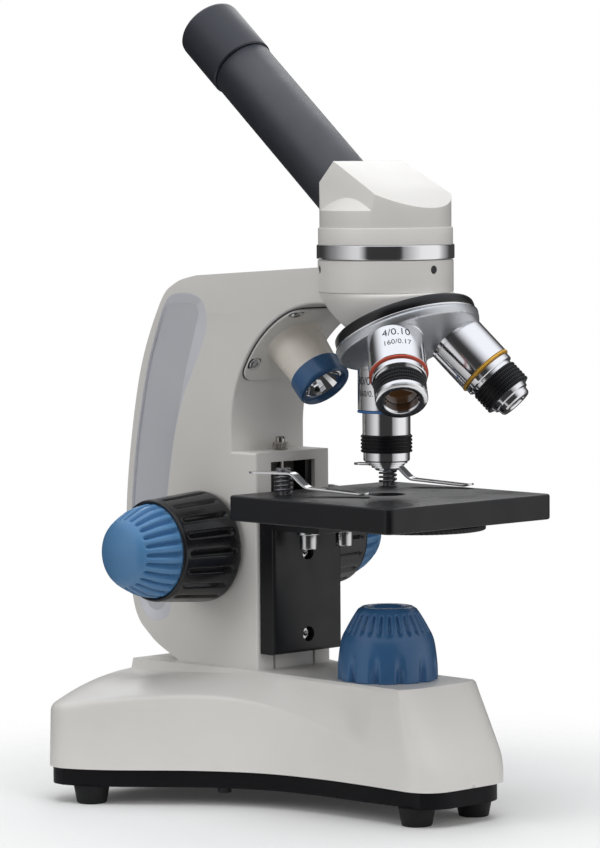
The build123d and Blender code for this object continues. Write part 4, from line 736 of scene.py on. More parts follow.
def outset(line: Sequence[Pair], room: float) -> list[Pair]:
    """Points of a closed clockwise line, each moved outwards by a distance."""
    moved = []
    for at, (x, y) in enumerate(line):
        ahead, behind = line[(at + 1) % len(line)], line[at - 1]
        length = math.hypot(ahead[0] - behind[0], ahead[1] - behind[1])
        moved.append((x - (ahead[1] - behind[1]) / length * room, y + (ahead[0] - behind[0]) / length * room))
    return moved


def arc(centre: Pair, radius: float, start: float, end: float, count: int) -> list[Pair]:
    """Points along an arc, angles in degrees."""
    turns = (math.radians(turn) for turn in spread(start, end, count))
    return [(centre[0] + radius * math.cos(turn), centre[1] + radius * math.sin(turn)) for turn in turns]


def corners(radius: float, height: float, *steps: Pair) -> list[Pair]:
    """Corners of a turned outline, each given by its steps from one radius and height."""
    return [(radius + out, height + up) for out, up in steps]


def round_ended(ends: Pair, radii: Pair, between: int, round_steps: int, cut: float = 0.0) -> list[float]:
    """Places along a strip, closer together towards its round ends.

    Args:
        ends: Where the strip starts and ends.
        radii: Radius of each end.
        between: Number of places from one rounding to the other.
        round_steps: Number of places in a rounding.
        cut: Angle in radians left out at each tip.

    Returns:
        The places in order.
    """
    (start, end), (first, last) = ends, radii
    places = [start + first * (1 - math.cos(turn)) for turn in spread(cut, math.pi / 2, round_steps)]
    places += spread(start + first, end - last, between)[1:-1]
    return places + [end - last * (1 - math.sin(turn)) for turn in spread(0, math.pi / 2 - cut, round_steps)]


def hump(low: float, high: float, rise: float, fall: float, top: float) -> Callable[[float], float]:
    """Rule that eases from 0 at low up to a top value and back to 0 at high."""
    return lambda at: top * ease(at, low, low + rise) * (1 - ease(at, high - fall, high))


def grooved(count: int, depth: float | Callable[[float], float], share: float,
            beyond: float = 1e-6) -> Callable[[Vector], Vector]:
    """Rule that sinks even grooves into a turned form about Z.

    Args:
        count: Number of grooves.
        depth: Depth of a groove, or a rule for it over the height.
        share: Part of the pitch that a groove takes.
        beyond: Radius within which no point moves.

    Returns:
        The rule for one point.
    """
    def sunk(point: Vector) -> Vector:
        """The point moved inwards where it lies in a groove."""
        radius = math.hypot(point.x, point.y)
        if radius <= beyond:
            return point
        phase = (math.atan2(point.y, point.x) * count / math.tau + 0.5) % 1.0 - 0.5
        within = min(1.0, abs(phase) / (share / 2))
        deepest = depth(point.z) if callable(depth) else depth
        scale = (radius - deepest * (0.5 + 0.5 * math.cos(math.pi * within))) / radius
        return Vector((point.x * scale, point.y * scale, point.z))
    return sunk


def socket_head(radius: float, height: float, key: float) -> Form:
    """Cap screw head with a hexagon socket, standing on its plane.

    Args:
        radius: Radius of the head.
        height: Height of the head.
        key: Corner radius of the socket.

    Returns:
        The closed body.
    """
    head = Form.rod(radius, 0, height, 48).soften(0.4, 3)
    return head.cut(Form.slab(arc((0, 0), key, 0, 300, 6), height * 0.45, height + OVERRUN))


@dataclass
class Base:
    """Cast base and its rubber feet."""

    rear_x: float = -122.0
    nose_x: float = 47.0
    nose_top_x: float = 31.0
    nose_start: float = 10.0
    nose_half: float = 25.0
    low_z: float = 14.5
    deck_z: float = 53.5
    rear_corner: float = 12.0
    nose_corner: float = 15.0
    nose_power: float = 2.5
    draft: float = 1.2
    step: float = 1.0
    edge: float = 1.6
    crease_round: Pair = (2.6, 0.9)
    crease_fades: Pair = (-80.0, -30.0)
    wings_end: Pair = (-2.0, 15.0)
    wall_power: float = 1.7
    front_wall: Pair = (4.0, 14.0)
    widest: float = 81.0
    stations: Row = (-123.0, -108.0, -90.0, -64.0, -40.0, -15.0, 10.0, 48.0)
    plan: Row = (81.0, 81.0, 71.0, 48.0, 33.5, 27.2, 25.0, 25.0)
    crease: Row = (38.5, 40.0, 43.0, 45.0, 42.5, 36.5, 30.0, 30.0)
    deck: Row = (29.0, 28.0, 26.0, 23.0, 21.5, 21.0, 21.0, 21.0)
    drop: Row = (4.0, 4.0, 3.2, 1.6, 1.0, 1.0, 1.0, 1.0)
    swell: Row = (0.055, 0.055, 0.045, -0.01, -0.1, -0.16, -0.17, -0.17)
    feet: Line = ((32.0, 16.0), (32.0, -16.0), (-101.0, 70.0), (-101.0, -70.0))
    foot_height: float = 7.5
    foot_low: float = 6.0
    foot_top: float = 7.4
    sole: float = 0.9

    def build(self) -> None:
        """Make the base's pieces."""
        self.shell()
        self.rubber_feet()

    def value(self, heights: Row, x: float) -> float:
        """Height at X of the smooth line through the heights at the stations."""
        dense = curve(list(zip(self.stations, heights)), 400)
        for (x0, v0), (x1, v1) in zip(dense, dense[1:]):
            if x0 <= x <= x1:
                return v0 + (v1 - v0) * (x - x0) / (x1 - x0)
        return dense[-1][1]

    def half_width(self, x: float) -> float:
        """Half width of the plan, with its rounded rear and nose corners."""
        half = min(self.widest, self.value(self.plan, x))
        reach = x - self.rear_x
        if reach < self.rear_corner:
            half = min(half, self.widest - self.rear_corner
                       + math.sqrt(max(0.0, self.rear_corner ** 2 - (self.rear_corner - reach) ** 2)))
        reach = self.nose_x - x
        if reach < self.nose_corner:
            gone = min(1.0, (self.nose_corner - reach) / self.nose_corner)
            left = (1 - gone ** self.nose_power) ** (1 / self.nose_power)
            half = min(half, self.nose_half - self.nose_corner * (1 - left))
        return half

    def section(self, x: float, squeeze: float = 1.0) -> list[Vector]:
        """Points round one cross-section, from the middle of the underside up the far side and back.

        Args:
            x: Where the section stands.
            squeeze: Share of the width that is left, to close the front.

        Returns:
            The points in order.
        """
        half = self.half_width(x)
        top = self.value(self.crease, x)
        deck = min(self.value(self.deck, x), half - 2.5)
        edge, edge_top = deck + self.step, self.deck_z - self.value(self.drop, x)
        shoulder = half - self.draft * (top - self.low_z) / (self.deck_z - self.low_z)
        swell = self.value(self.swell, x)
        corner = Vector((shoulder, top))
        rear, front = self.crease_round
        bend_r = rear + (front - rear) * ease(x, *self.crease_fades)
        begin = bend_r / math.hypot(shoulder - edge, edge_top - top)
        wing = []
        for t in spread(begin, 1, 12):
            rise = 4 * t * (1 - t) * swell
            wing.append(Vector((shoulder + (edge - shoulder) * t + rise * (edge_top - top),
                                top + (edge_top - top) * t + rise * (shoulder - edge))))
        foot = Vector((half, self.low_z))
        below = corner + (foot - corner).normalized() * bend_r
        side = [foot.lerp(below, t) for t in spread(0, 1, 7)]
        bend = [below.lerp(corner, t).lerp(corner.lerp(wing[0], t), t) for t in spread(0, 1, 6)[1:-1]]
        wall = side + bend + wing
        plain = ease(x, *self.wings_end)
        tall = edge_top - self.low_z
        wall = [(y + plain * (half - (half - edge) * ((z - self.low_z) / tall) ** self.wall_power - y), z)
                for y, z in wall]
        deck_line = [(deck * (1 - t), self.deck_z) for t in spread(0, 1, 4)]
        floor = [(half * t, self.low_z) for t in spread(0, 1, 4)[:-1]]
        far = floor + wall + deck_line
        near = [(-y, z) for y, z in reversed(far)]
        return [self.lean(Vector((x, y * squeeze, z))) for y, z in far + near[1:]]

    def lean(self, point: Vector) -> Vector:
        """Slope the nose back towards its top."""
        if point.x <= self.nose_start:
            return point
        start, end = self.front_wall
        above = point.z - self.low_z
        rise = max(0.0, min(above, end) - start) ** 2 / (end - start) / 2 + max(0.0, above - end)
        whole = (end - start) / 2 + self.deck_z - self.low_z - end
        front = self.nose_x - (self.nose_x - self.nose_top_x) * rise / whole
        share = (point.x - self.nose_start) / (self.nose_x - self.nose_start)
        return Vector((self.nose_start + share * (front - self.nose_start), point.y, point.z))

    def shell(self) -> None:
        """White casting with its crease, hollow wings and flat deck."""
        places = round_ended((self.rear_x, self.nose_x), (self.rear_corner, self.nose_corner), 60, 9)
        rows = [self.section(x) for x in places]
        rows += [self.section(self.nose_x, share) for share in (0.8, 0.6, 0.4, 0.2, 0.0)]
        form = Form.skin(rows)
        last, rim = len(rows[0]) - 1, len(rows[0]) // 2 - 4
        rims = [edge for column in (rim, rim + 1, last - rim, last - rim - 1) for edge in form.columns[column]]
        form.round_edges(rims, 0.6, 3)
        form.capped()
        form.soften(self.edge, 4, 50.0, lambda edge: all(vert.co.z > self.low_z + 1 for vert in edge.verts))
        form.piece("base_casting", WHITE, "stand", "white_cast", "base_shell")

    def rubber_feet(self) -> None:
        """Four tapered feet with a dished sole."""
        form = Form()
        for x, y in self.feet:
            foot = Form.turned([(0, self.sole), *corners(self.foot_low, 0, (-2.2, self.sole), (-1.6, 0), (0, 0)),
                                (self.foot_top, self.foot_height), (0, self.foot_height)], 64)
            form.add(foot.soften(0.7, 3).move(x, y))
        form.piece("feet_rubber", RUBBER, "stand", "rubber", "rubber_feet")


@dataclass
class Arm:
    """Cast arm with its crescent panels and the stop screw on its shelf."""

    half: float = 20.5
    front_x: float = -54.5
    foot_x: float = -103.0
    foot_z: float = 53.5
    top: Pair = (0.0, 219.0)
    shelf_z: float = 142.0
    arch: Pair = (-17.0, 151.0)
    arch_r: float = 52.5
    back: Line = ((-90.0, 213.6), (-103.0, 210.2), (-113.0, 201.0), (-126.5, 169.0), (-135.0, 115.0),
                  (-131.0, 76.0), (-120.0, 62.0), (-103.0, 53.5))
    edge: float = 2.6
    crisp: float = 1.0
    crisp_within: Pair = (-75.0, 206.0)
    end_x: float = -14.0
    socket_r: float = 27.0
    socket_z: Pair = (208.0, 221.0)
    spigot_r: float = 20.05
    spigot_depth: float = 9.3
    channel_half: float = 12.3
    channel_z: Pair = (60.0, 138.0)
    channel_back: float = -91.0
    panel: Line = ((-131.3, 119.0), (-128.8, 139.0), (-125.4, 156.0), (-121.0, 174.0), (-116.2, 187.0),
                   (-112.6, 194.5), (-109.8, 199.2), (-106.6, 201.5), (-101.0, 202.0), (-94.5, 202.0),
                   (-91.2, 200.8), (-90.2, 197.5), (-91.8, 192.5), (-94.5, 185.0), (-98.0, 175.0),
                   (-101.1, 164.0), (-104.2, 151.5), (-107.5, 135.0), (-109.7, 120.0), (-111.0, 106.0),
                   (-111.4, 95.0), (-111.2, 86.0), (-111.6, 79.0), (-113.6, 75.0), (-117.2, 73.2),
                   (-121.6, 74.2), (-125.4, 78.2), (-128.8, 86.0), (-130.8, 96.0), (-131.5, 107.0))
    panel_rim: Line = ((-131.3, 119.0), (-128.8, 139.0), (-125.4, 156.0), (-121.0, 174.0), (-116.2, 187.0),
                       (-112.8, 195.0), (-110.0, 200.4), (-106.4, 204.5), (-100.0, 206.0), (-92.0, 205.6),
                       (-87.0, 203.4), (-84.4, 198.6), (-84.2, 192.0), (-87.2, 185.0), (-92.4, 175.2),
                       (-98.4, 164.0), (-103.2, 151.5), (-107.0, 135.0), (-109.4, 120.0), (-110.7, 106.0),
                       (-110.8, 95.0), (-109.2, 86.0), (-107.4, 78.0), (-109.4, 71.8), (-115.8, 69.2),
                       (-122.2, 70.6), (-126.8, 76.2), (-129.5, 85.6), (-131.0, 96.0), (-131.5, 107.0))
    panel_depth: float = 1.5
    panel_wall: float = 0.3
    guide_slots: Pair = (10.5, 11.7)
    grub_z: float = 217.2
    grub_r: float = 1.7
    grub_reach: Pair = (15.0, 40.0)
    stop_r: Row = (1.5, 3.2, 1.9)
    stop_knurls: int = 36
    stop_slot: Pair = (0.4, 0.9)

    def build(self) -> None:
        """Make the arm's pieces."""
        self.shell()
        self.panels()
        self.stop()

    def stop(self) -> None:
        """Knurled stop screw on the shelf."""
        low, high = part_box("stop_screw")
        middle = (low.x + high.x) / 2 / MM - axis_x()
        seat, end, top = self.shelf_z + 0.3, low.z / MM, high.z / MM
        shank, head, neck = self.stop_r
        half, depth = self.stop_slot
        form = Form.turned([(0, end), *corners(shank, end, (-0.2, 0), (0, 0.3)), (shank, seat),
                            *corners(head, seat, (-0.2, 0), (0, 0.25), (0, 2.5), (-0.3, 2.9)),
                            (neck, seat + 3.1), *corners(neck, top, (0, -0.4), (-0.4, 0)), (0, top)], 144)
        form.shape(grooved(self.stop_knurls, 0.28, 0.7, head - 0.4))
        form.cut(Form.block((-5, 5), (-half, half), (top - depth, top + OVERRUN)))
        form.move(middle)
        form.piece("stop_thumbscrew", NICKEL, "stop_screw", "brass", "stop_screw", sharp=30.0)

    def outline(self) -> list[Pair]:
        """Side view of the arm."""
        rise = arc(self.arch, self.arch_r, 180.0, 90.0, 48)
        return [(self.foot_x, self.foot_z), (self.front_x, self.foot_z), (self.front_x, self.shelf_z),
                (rise[0][0], self.shelf_z), *rise, (0.0, rise[-1][1]), self.top, *curve(self.back, 84)[:-1]]

    def shell(self) -> None:
        """White casting with socket, focus channel and panel recesses."""
        form = Form.upright(self.outline(), self.half)
        form.soften(self.crisp, 8, 60.0, self.is_front)
        form.soften(self.edge, 8, 60.0, self.is_back)
        low, high = self.socket_z
        below = [(self.end_x, low - 20), (30, low - 20), (30, low), (self.end_x, low)]
        form.cut(Form.upright(below, self.half + OVERRUN))
        form.join(Form.rod(self.socket_r, low, high, 128).soften(0.7, 8))
        form.cut(Form.rod(self.spigot_r, high - self.spigot_depth, high + OVERRUN))
        (sill, lintel), mouth = self.channel_z, self.front_x + 5
        channel = [(self.channel_back, sill), (mouth, sill), (mouth, lintel), (self.channel_back, lintel)]
        form.cut(Form.upright(channel, self.channel_half))
        for side in (-1, 1):
            recess = self.dish(self.panel_wall + 0.04, self.panel_depth, 0.5)
            form.cut(recess if side < 0 else recess.flipped())
            across = tuple(sorted(side * y for y in self.guide_slots))
            form.cut(Form.block((self.front_x - 3, self.front_x + OVERRUN), across,
                                (self.foot_z - OVERRUN, sill + OVERRUN)))
        for turn in (0, 120, 240):
            aim = Vector((math.cos(math.radians(turn)), math.sin(math.radians(turn)), 0))
            hole = Form.rod(self.grub_r, *self.grub_reach, 32)
            form.cut(hole.place(framed((0, 0, self.grub_z), (0, 0, 1), aim)))
        form.clean()
        form.piece("arm_casting", WHITE, "stand", "white_cast", "arm_shell", sharp=14.0)

    def is_front(self, edge: Edge) -> bool:
        """Whether an edge runs along one side of the front or the arch."""
        first, second = (vert.co for vert in edge.verts)
        middle = (first + second) / 2
        back_x, top_z = self.crisp_within
        along = abs(first.y - second.y) < 0.1 and abs(middle.y) > self.half - 0.1
        return along and middle.x > back_x and middle.z < top_z

    def is_back(self, edge: Edge) -> bool:
        """Whether an edge runs along one side of the back or the top."""
        first, second = (vert.co for vert in edge.verts)
        middle = (first + second) / 2
        back_x, top_z = self.crisp_within
        return abs(first.y - second.y) < 0.1 and (middle.x < back_x or middle.z > top_z)

    def dish(self, grow: float, depth: float, proud: float = -0.02) -> Form:
        """Body that fills a panel's hollow on the near side.

        Args:
            grow: Room round the hollow.
            depth: Depth of its floor.
            proud: How far it stands out of the arm's side.

        Returns:
            The closed body.
        """
        rows = []
        for line, out in ((self.panel, -depth), (self.panel_rim, min(proud, 0.0)), (self.panel_rim, proud)):
            row = [Vector((x, -self.half - out, z)) for x, z in outset(loop(line, 6), grow)]
            rows.append([*row, row[0]])
        return Form.skin(rows if proud > 0 else rows[:2]).capped()

    def panels(self) -> None:
        """Grey crescent panels let into both sides, each in a sloping rim whose paler grey is painted light."""
        rim = self.dish(self.panel_wall, self.panel_depth)
        rim.cut(self.dish(0.0, self.panel_depth - self.panel_wall, 0.5))
        rim.clean().both_sides().piece("crescent_rims", ACCENT_RIM_PAINTED_LIGHT, "stand", "accent", sharp=14.0)
        low, high = (self.half - self.panel_depth + step for step in (0.1, self.panel_wall + 0.03))
        form = Form.slab(outset(loop(self.panel, 6), 0.1), low, high)
        form.place(Matrix.Rotation(math.pi / 2, 4, "X")).both_sides()
        form.piece("crescent_panels", ACCENT, "stand", "accent", "accent_panels", sharp=14.0)


@dataclass
class Drive:
    """Coarse and fine focus knobs."""

    axis: Pair = (-84.0, 102.6)
    coarse_at: Pair = (21.8, 51.5)
    coarse_r: Pair = (22.8, 20.9)
    bore_r: float = 4.05
    lip_r: float = 19.5
    lip: float = 2.4
    grooves: int = 18
    groove_depth: float = 1.5
    fine_at: Pair = (49.4, 71.0)
    fine_r: float = 19.2
    flutes: int = 24
    flute_depth: float = 2.2

    def build(self) -> None:
        """Make the knobs."""
        self.coarse()
        self.fine()

    def place(self) -> Matrix:
        """Plane on the drive line whose height runs out of the near side."""
        return framed((self.axis[0], 0, self.axis[1]), (1, 0, 0), (0, -1, 0))

    def coarse(self) -> None:
        """Black knobs with long grip grooves between two plain rims."""
        low, high = self.coarse_at
        inner, outer = self.coarse_r
        taper = outer - inner
        wall = [(inner + taper * ease(t, 0, 1) * 0.35 + taper * t * 0.65, low + 2.2 + (high - low - 3.8) * t)
                for t in spread(0, 1, 44)]
        outline = [(self.bore_r, low), *corners(inner, low, (-2.2, 0), (-0.9, 0.35), (-0.2, 1.2)), *wall,
                   *corners(outer, high, (-0.15, -0.7), (-0.55, -0.15), (-0.9, 0)),
                   *corners(self.lip_r, high, (0.25, 0), (0, -0.25), (0, -self.lip)),
                   (self.bore_r, high - self.lip)]
        depth = hump(low + 3.0, high - 2.4, 2.2, 2.2, self.groove_depth)
        form = Form.turned(outline, self.grooves * 14)
        form.shape(grooved(self.grooves, depth, 0.4, self.lip_r + 0.4))
        form.place(self.place()).both_sides()
        form.piece("coarse_focus_knobs", KNOB_BLACK, "coarse_drive", "black_plastic", "coarse_knobs", sharp=50.0)

    def fine(self) -> None:
        """Blue domed knobs with rounded ribs round the rim."""
        low, high = self.fine_at
        rim, length, straight = self.fine_r, high - low, low + 2.0
        dome = curve([(rim + 0.2, low - 3.0), (rim, straight), (rim * 0.955, straight + length * 0.22),
                      (rim * 0.86, straight + length * 0.44), (rim * 0.66, high - 3.9),
                      (rim * 0.36, high - 1.15), (0.0, high), (-rim * 0.36, high - 1.15)], 120)
        dome = [point for point in dome if point[1] > straight and point[0] > 0.05]
        outline = [(0, low), *corners(rim, low, (-0.8, 0), (-0.2, 0.35), (0, 0.9)), (rim, straight), *dome,
                   (0, high)]
        depth = hump(low + 1.4, low + length * 0.79, 1.2, 2.4, self.flute_depth)
        form = Form.turned(outline, self.flutes * 12).shape(grooved(self.flutes, depth, 0.7))
        form.place(self.place()).both_sides()
        form.piece("fine_focus_knobs", BLUE_KNOB, "fine_drive", "blue_knob", "fine_knobs", sharp=60.0)


@dataclass
class BottomLamp:
    """Blue cap of the bottom lamp."""

    deck_z: float = 53.5
    skirt_r: float = 20.1
    waist_r: float = 18.6
    waist: float = 15.5
    shoulder_r: float = 13.6
    shoulder: float = 25.3
    top_r: float = 11.0
    height: float = 29.0
    hole_r: float = 5.8
    wall: float = 2.4
    flutes: int = 12
    flute_depth: float = 2.0
    grooves: int = 26
    groove_depth: float = 1.3

    def build(self) -> None:
        """Make the cap with its scalloped skirt and notched shoulder."""
        skirt = curve([(self.skirt_r + 0.1, -4), (self.skirt_r, 0.4), (self.skirt_r - 0.25, self.waist * 0.45),
                       (self.waist_r, self.waist), (16.3, 20.6), (self.shoulder_r, self.shoulder), (11.6, 28.2),
                       (10.0, 30.0)], 90)
        skirt = [point for point in skirt if 0.4 < point[1] < self.height - 0.9]
        inside = self.hole_r + 0.1
        outline = [(self.skirt_r - self.wall, 0), *corners(self.skirt_r, 0, (-0.3, 0), (0, 0.35)), *skirt,
                   *corners(self.top_r, self.height, (-0.25, -0.4), (-0.7, -0.05), (-1.0, 0)),
                   *corners(self.hole_r, self.height, (2.3, 0), (1.9, -0.15)),
                   *corners(inside, self.height, (0.5, -1.1), (0, -1.6), (0, -self.wall)),
                   (self.shoulder_r - self.wall, self.shoulder - self.wall),
                   (self.waist_r - self.wall, self.waist - self.wall)]
        form = Form.turned(outline, self.flutes * self.grooves)
        scallop = hump(-1.0, self.waist * 0.84, 0.5, self.waist * 0.79, self.flute_depth)
        notch = hump(self.waist + 2.6, self.shoulder + 1.8, 2.8, 1.6, self.groove_depth)
        form.shape(grooved(self.flutes, scallop, 0.5, self.skirt_r - self.wall + 0.2))
        form.shape(grooved(self.grooves, notch, 0.66, self.shoulder_r - 1.6))
        form.move(z=self.deck_z)
        form.piece("lamp_cap", BLUE_LAMP, "stand", "blue_lamp", "illuminator_cap", sharp=60.0)


@dataclass
class Stage:
    """Black square stage, its bracket, bolts and disc."""

    x: float = 1.7
    size: float = 92.0
    low_z: float = 117.2
    top_z: float = 127.3
    corner: float = 3.5
    aperture: float = 7.0
    bracket_x: Pair = (-54.2, -45.8)
    bracket_half: float = 19.0
    bracket_z: float = 60.2
    shelf_z: float = 111.2
    shelf_x: float = -20.0
    screw_z: Pair = (101.0, 67.5)
    screw_head: Point = (2.6, 3.6, 1.35)
    screw_sink: float = 2.7
    bolt: Pair = (-35.0, 10.0)
    bolt_head: Point = (3.5, 5.9, 1.9)
    washer: Pair = (4.75, 1.6)
    pivot_r: float = 2.05
    disc_x: float = 18.0
    disc_r: float = 26.5
    disc_z: Pair = (114.6, 116.6)
    disc_teeth: int = 80
    disc_holes: Row = (7.0, 5.5, 4.2, 3.0, 2.0, 1.2)

    def build(self) -> None:
        """Make the stage's pieces."""
        self.plate()
        self.bracket()
        self.screws()
        self.disc()

    def square(self) -> list[Pair]:
        """Outline of the table with its round corners."""
        inset = self.size / 2 - self.corner
        points: list[Pair] = []
        for turn, sx, sy in ((0, 1, 1), (90, -1, 1), (180, -1, -1), (270, 1, -1)):
            points += arc((self.x + sx * inset, sy * inset), self.corner, turn, turn + 90, 10)
        return points

    def plate(self) -> None:
        """Square plate with soft edges and the light hole."""
        form = Form.slab(self.square(), self.low_z, self.top_z).soften(0.9, 4, 60.0)
        low, top, wide = self.low_z - OVERRUN, self.top_z, self.aperture + 0.6
        form.cut(Form.turned([(0, low), (self.aperture, low), (self.aperture, top - 0.6), (wide, top),
                              (wide, top + OVERRUN), (0, top + OVERRUN)], 64))
        form.clean()
        form.piece("stage_table", BLACK_COAT, "stage", "black_metal", "stage_plate", sharp=30.0)

    def is_front(self, edge: Edge) -> bool:
        """Whether an edge of the angle plate bounds its free front face."""
        first, second = (vert.co for vert in edge.verts)
        free = max(first.z, second.z) < self.low_z - 1 or abs(first.z - second.z) > 10
        return free and min(first.x, second.x) > self.bracket_x[1] - 0.1

    def bracket(self) -> None:
        """Angle plate with rounded corners and two sunk holes."""
        back, front = self.bracket_x
        across = (-self.bracket_half, self.bracket_half)
        form = Form.block(self.bracket_x, across, (self.bracket_z, self.low_z))
        form.soften(1.4, 4, 60.0, self.is_front)
        shelf = Form.block((front - 2, self.shelf_x), across, (self.shelf_z, self.low_z))
        form.join(shelf.soften(0.8, 3, 60.0, lambda edge: all(vert.co.x > front for vert in edge.verts)))
        for z in self.screw_z:
            hole = Form.rod(self.screw_head[0] + 0.5, self.screw_sink, 20, 40)
            form.cut(hole.place(framed((back, 0, z), (0, 0, 1), (1, 0, 0))))
        form.clean()
        form.piece("stage_angle", BLACK_COAT, "stage", "black_metal", "stage_bracket", sharp=30.0)

    def screws(self) -> None:
        """Socket bolts with washers under the shelf and socket screws in the bracket."""
        x, y = self.bolt
        radius, thick = self.washer
        form = Form()
        for side in (-1, 1):
            bolt = Form.rod(radius, 0, thick, 48).soften(0.25, 2)
            bolt.add(socket_head(*self.bolt_head).move(z=thick))
            form.add(bolt.place(framed((x, side * y, self.shelf_z), (1, 0, 0), (0, 0, -1))))
        for z in self.screw_z:
            seat = self.bracket_x[0] + self.screw_sink + 0.1
            form.add(socket_head(*self.screw_head).place(framed((seat, 0, z), (0, 0, 1), (1, 0, 0))))
        form.piece("stage_bolts", STEEL, "stage", "steel", "stage_screws", sharp=30.0)

    def disc(self) -> None:
        """Turning disc with its ring of light holes and a milled edge."""
        low, high = self.disc_z
        form = Form.ring((self.pivot_r, self.disc_r), self.disc_z, 0.3, 240)
        form.shape(grooved(self.disc_teeth, 0.35, 0.8, self.disc_r - 0.5))
        for index, radius in enumerate(self.disc_holes):
            turn = math.radians(180 + index * 360 / len(self.disc_holes))
            hole = Form.rod(radius, low - OVERRUN, high + OVERRUN, 48)
            form.cut(hole.move(self.disc_x * math.cos(turn), self.disc_x * math.sin(turn)))
        form.move(self.disc_x)
        form.piece("light_disc", BLACK_PLASTIC, "diaphragm", "black_plastic", "disc_diaphragm", sharp=30.0)


@dataclass
class Clips:
    """Two spring fingers on headed posts."""

    post: Pair = (-29.0, 29.3)
    post_r: float = 2.0
    head_r: float = 3.0
    head: float = 1.2
    stage_z: Pair = (117.4, 127.3)
    clip_z: float = 136.5
    turn: float = 24.4
    width: float = 6.5
    thick: float = 0.8
    line: Line = ((-14.6, 136.5), (4.5, 136.5), (10.5, 130.7), (37.0, 128.5))
    bend: float = 1.3
    tip: Pair = (3.2, 0.7)
    slot: Pair = (0.35, 0.6)
    coil_r: float = 3.3
    wire_r: float = 0.5
    turns: int = 4

    def build(self) -> None:
        """Make both clips with posts and springs."""
        for side, body in ((-1, "clip_left"), (1, "clip_right")):
            for form, name, finish, slot, node in (
                    (self.finger(), "finger", CLIP_STEEL, "steel", body),
                    (self.pin(), "pin", SPRING, "steel", f"{body}_post"),
                    (self.coil(), "coil", SPRING, "spring_steel", f"{body}_spring")):
                form.move(y=(1 + side) * self.post[1])
                form.piece(f"{body}_{name}", finish, body, slot, node, sharp=40.0)

    def straight(self, along: float) -> float:
        """Height of the finger's top at a distance from the post, with sharp bends."""
        for (s0, z0), (s1, z1) in zip(self.line, self.line[1:]):
            if along <= s1:
                return z0 + (z1 - z0) * (along - s0) / (s1 - s0)
        return self.line[-1][1]

    def rise(self, along: float) -> float:
        """Height of the finger's top at a distance from the post, with rounded bends."""
        return sum(self.straight(along + step) for step in spread(-self.bend, self.bend, 9)) / 9

    def finger(self) -> Form:
        """Flat strip with round ends, bent down to the stage."""
        start, end = self.line[0][0], self.line[-1][0]
        half, (tip, lift) = self.width / 2, self.tip
        rows = []
        for along in round_ended((start, end), (half, half), 56, 8, 0.12):
            over = max(start + half - along, along - end + half, 0.0)
            reach = math.sqrt(max(0.0, half * half - over * over))
            height = min(self.rise(along) + lift * ease(along, end - tip, end), self.clip_z)
            rows.append([Vector((along, y, height)) for y in spread(-reach, reach, 9)])
        form = Form.skin(rows).clean().thickened(self.thick, OVERHEAD).soften(0.18, 2, 60.0)
        turn = Matrix.Rotation(math.radians(self.turn), 4, "Z")
        return form.place(Matrix.Translation((self.post[0], -self.post[1], 0)) @ turn)

    def pin(self) -> Form:
        """Headed post with a slot across its head."""
        low, seat = self.stage_z[0], self.clip_z + 0.3
        top = seat + self.head
        half, depth = self.slot
        form = Form.turned([(0, low), (self.post_r, low), (self.post_r, seat), (self.head_r, seat),
                            (self.head_r, top), (0, top)], 48)
        form.soften(0.3, 3, 60.0, lambda edge: all(vert.co.z > seat + 0.5 for vert in edge.verts))
        form.cut(Form.block((-5, 5), (-half, half), (top - depth, top + OVERRUN)))
        return form.move(self.post[0], -self.post[1])

    def coil(self) -> Form:
        """Coil spring wound round the post."""
        low = self.stage_z[1] + 0.3 + self.wire_r
        high = self.clip_z - self.thick - 0.3 - self.wire_r
        form = Form()
        ring = bmesh.ops.create_circle(form.mesh, cap_ends=True, radius=self.wire_r, segments=12)["verts"]
        place = Matrix.Translation((self.coil_r, 0, low)) @ Matrix.Rotation(math.pi / 2, 4, "X")
        bmesh.ops.transform(form.mesh, matrix=place, verts=ring)
        steps = 28 * self.turns
        bmesh.ops.spin(form.mesh, geom=form.parts(), cent=(0, 0, 0), axis=(0, 0, 1), angle=math.tau * self.turns,
                       dvec=(0, 0, (high - low) / steps), steps=steps, use_merge=False, use_duplicate=False)
        return form.clean().move(self.post[0], -self.post[1])


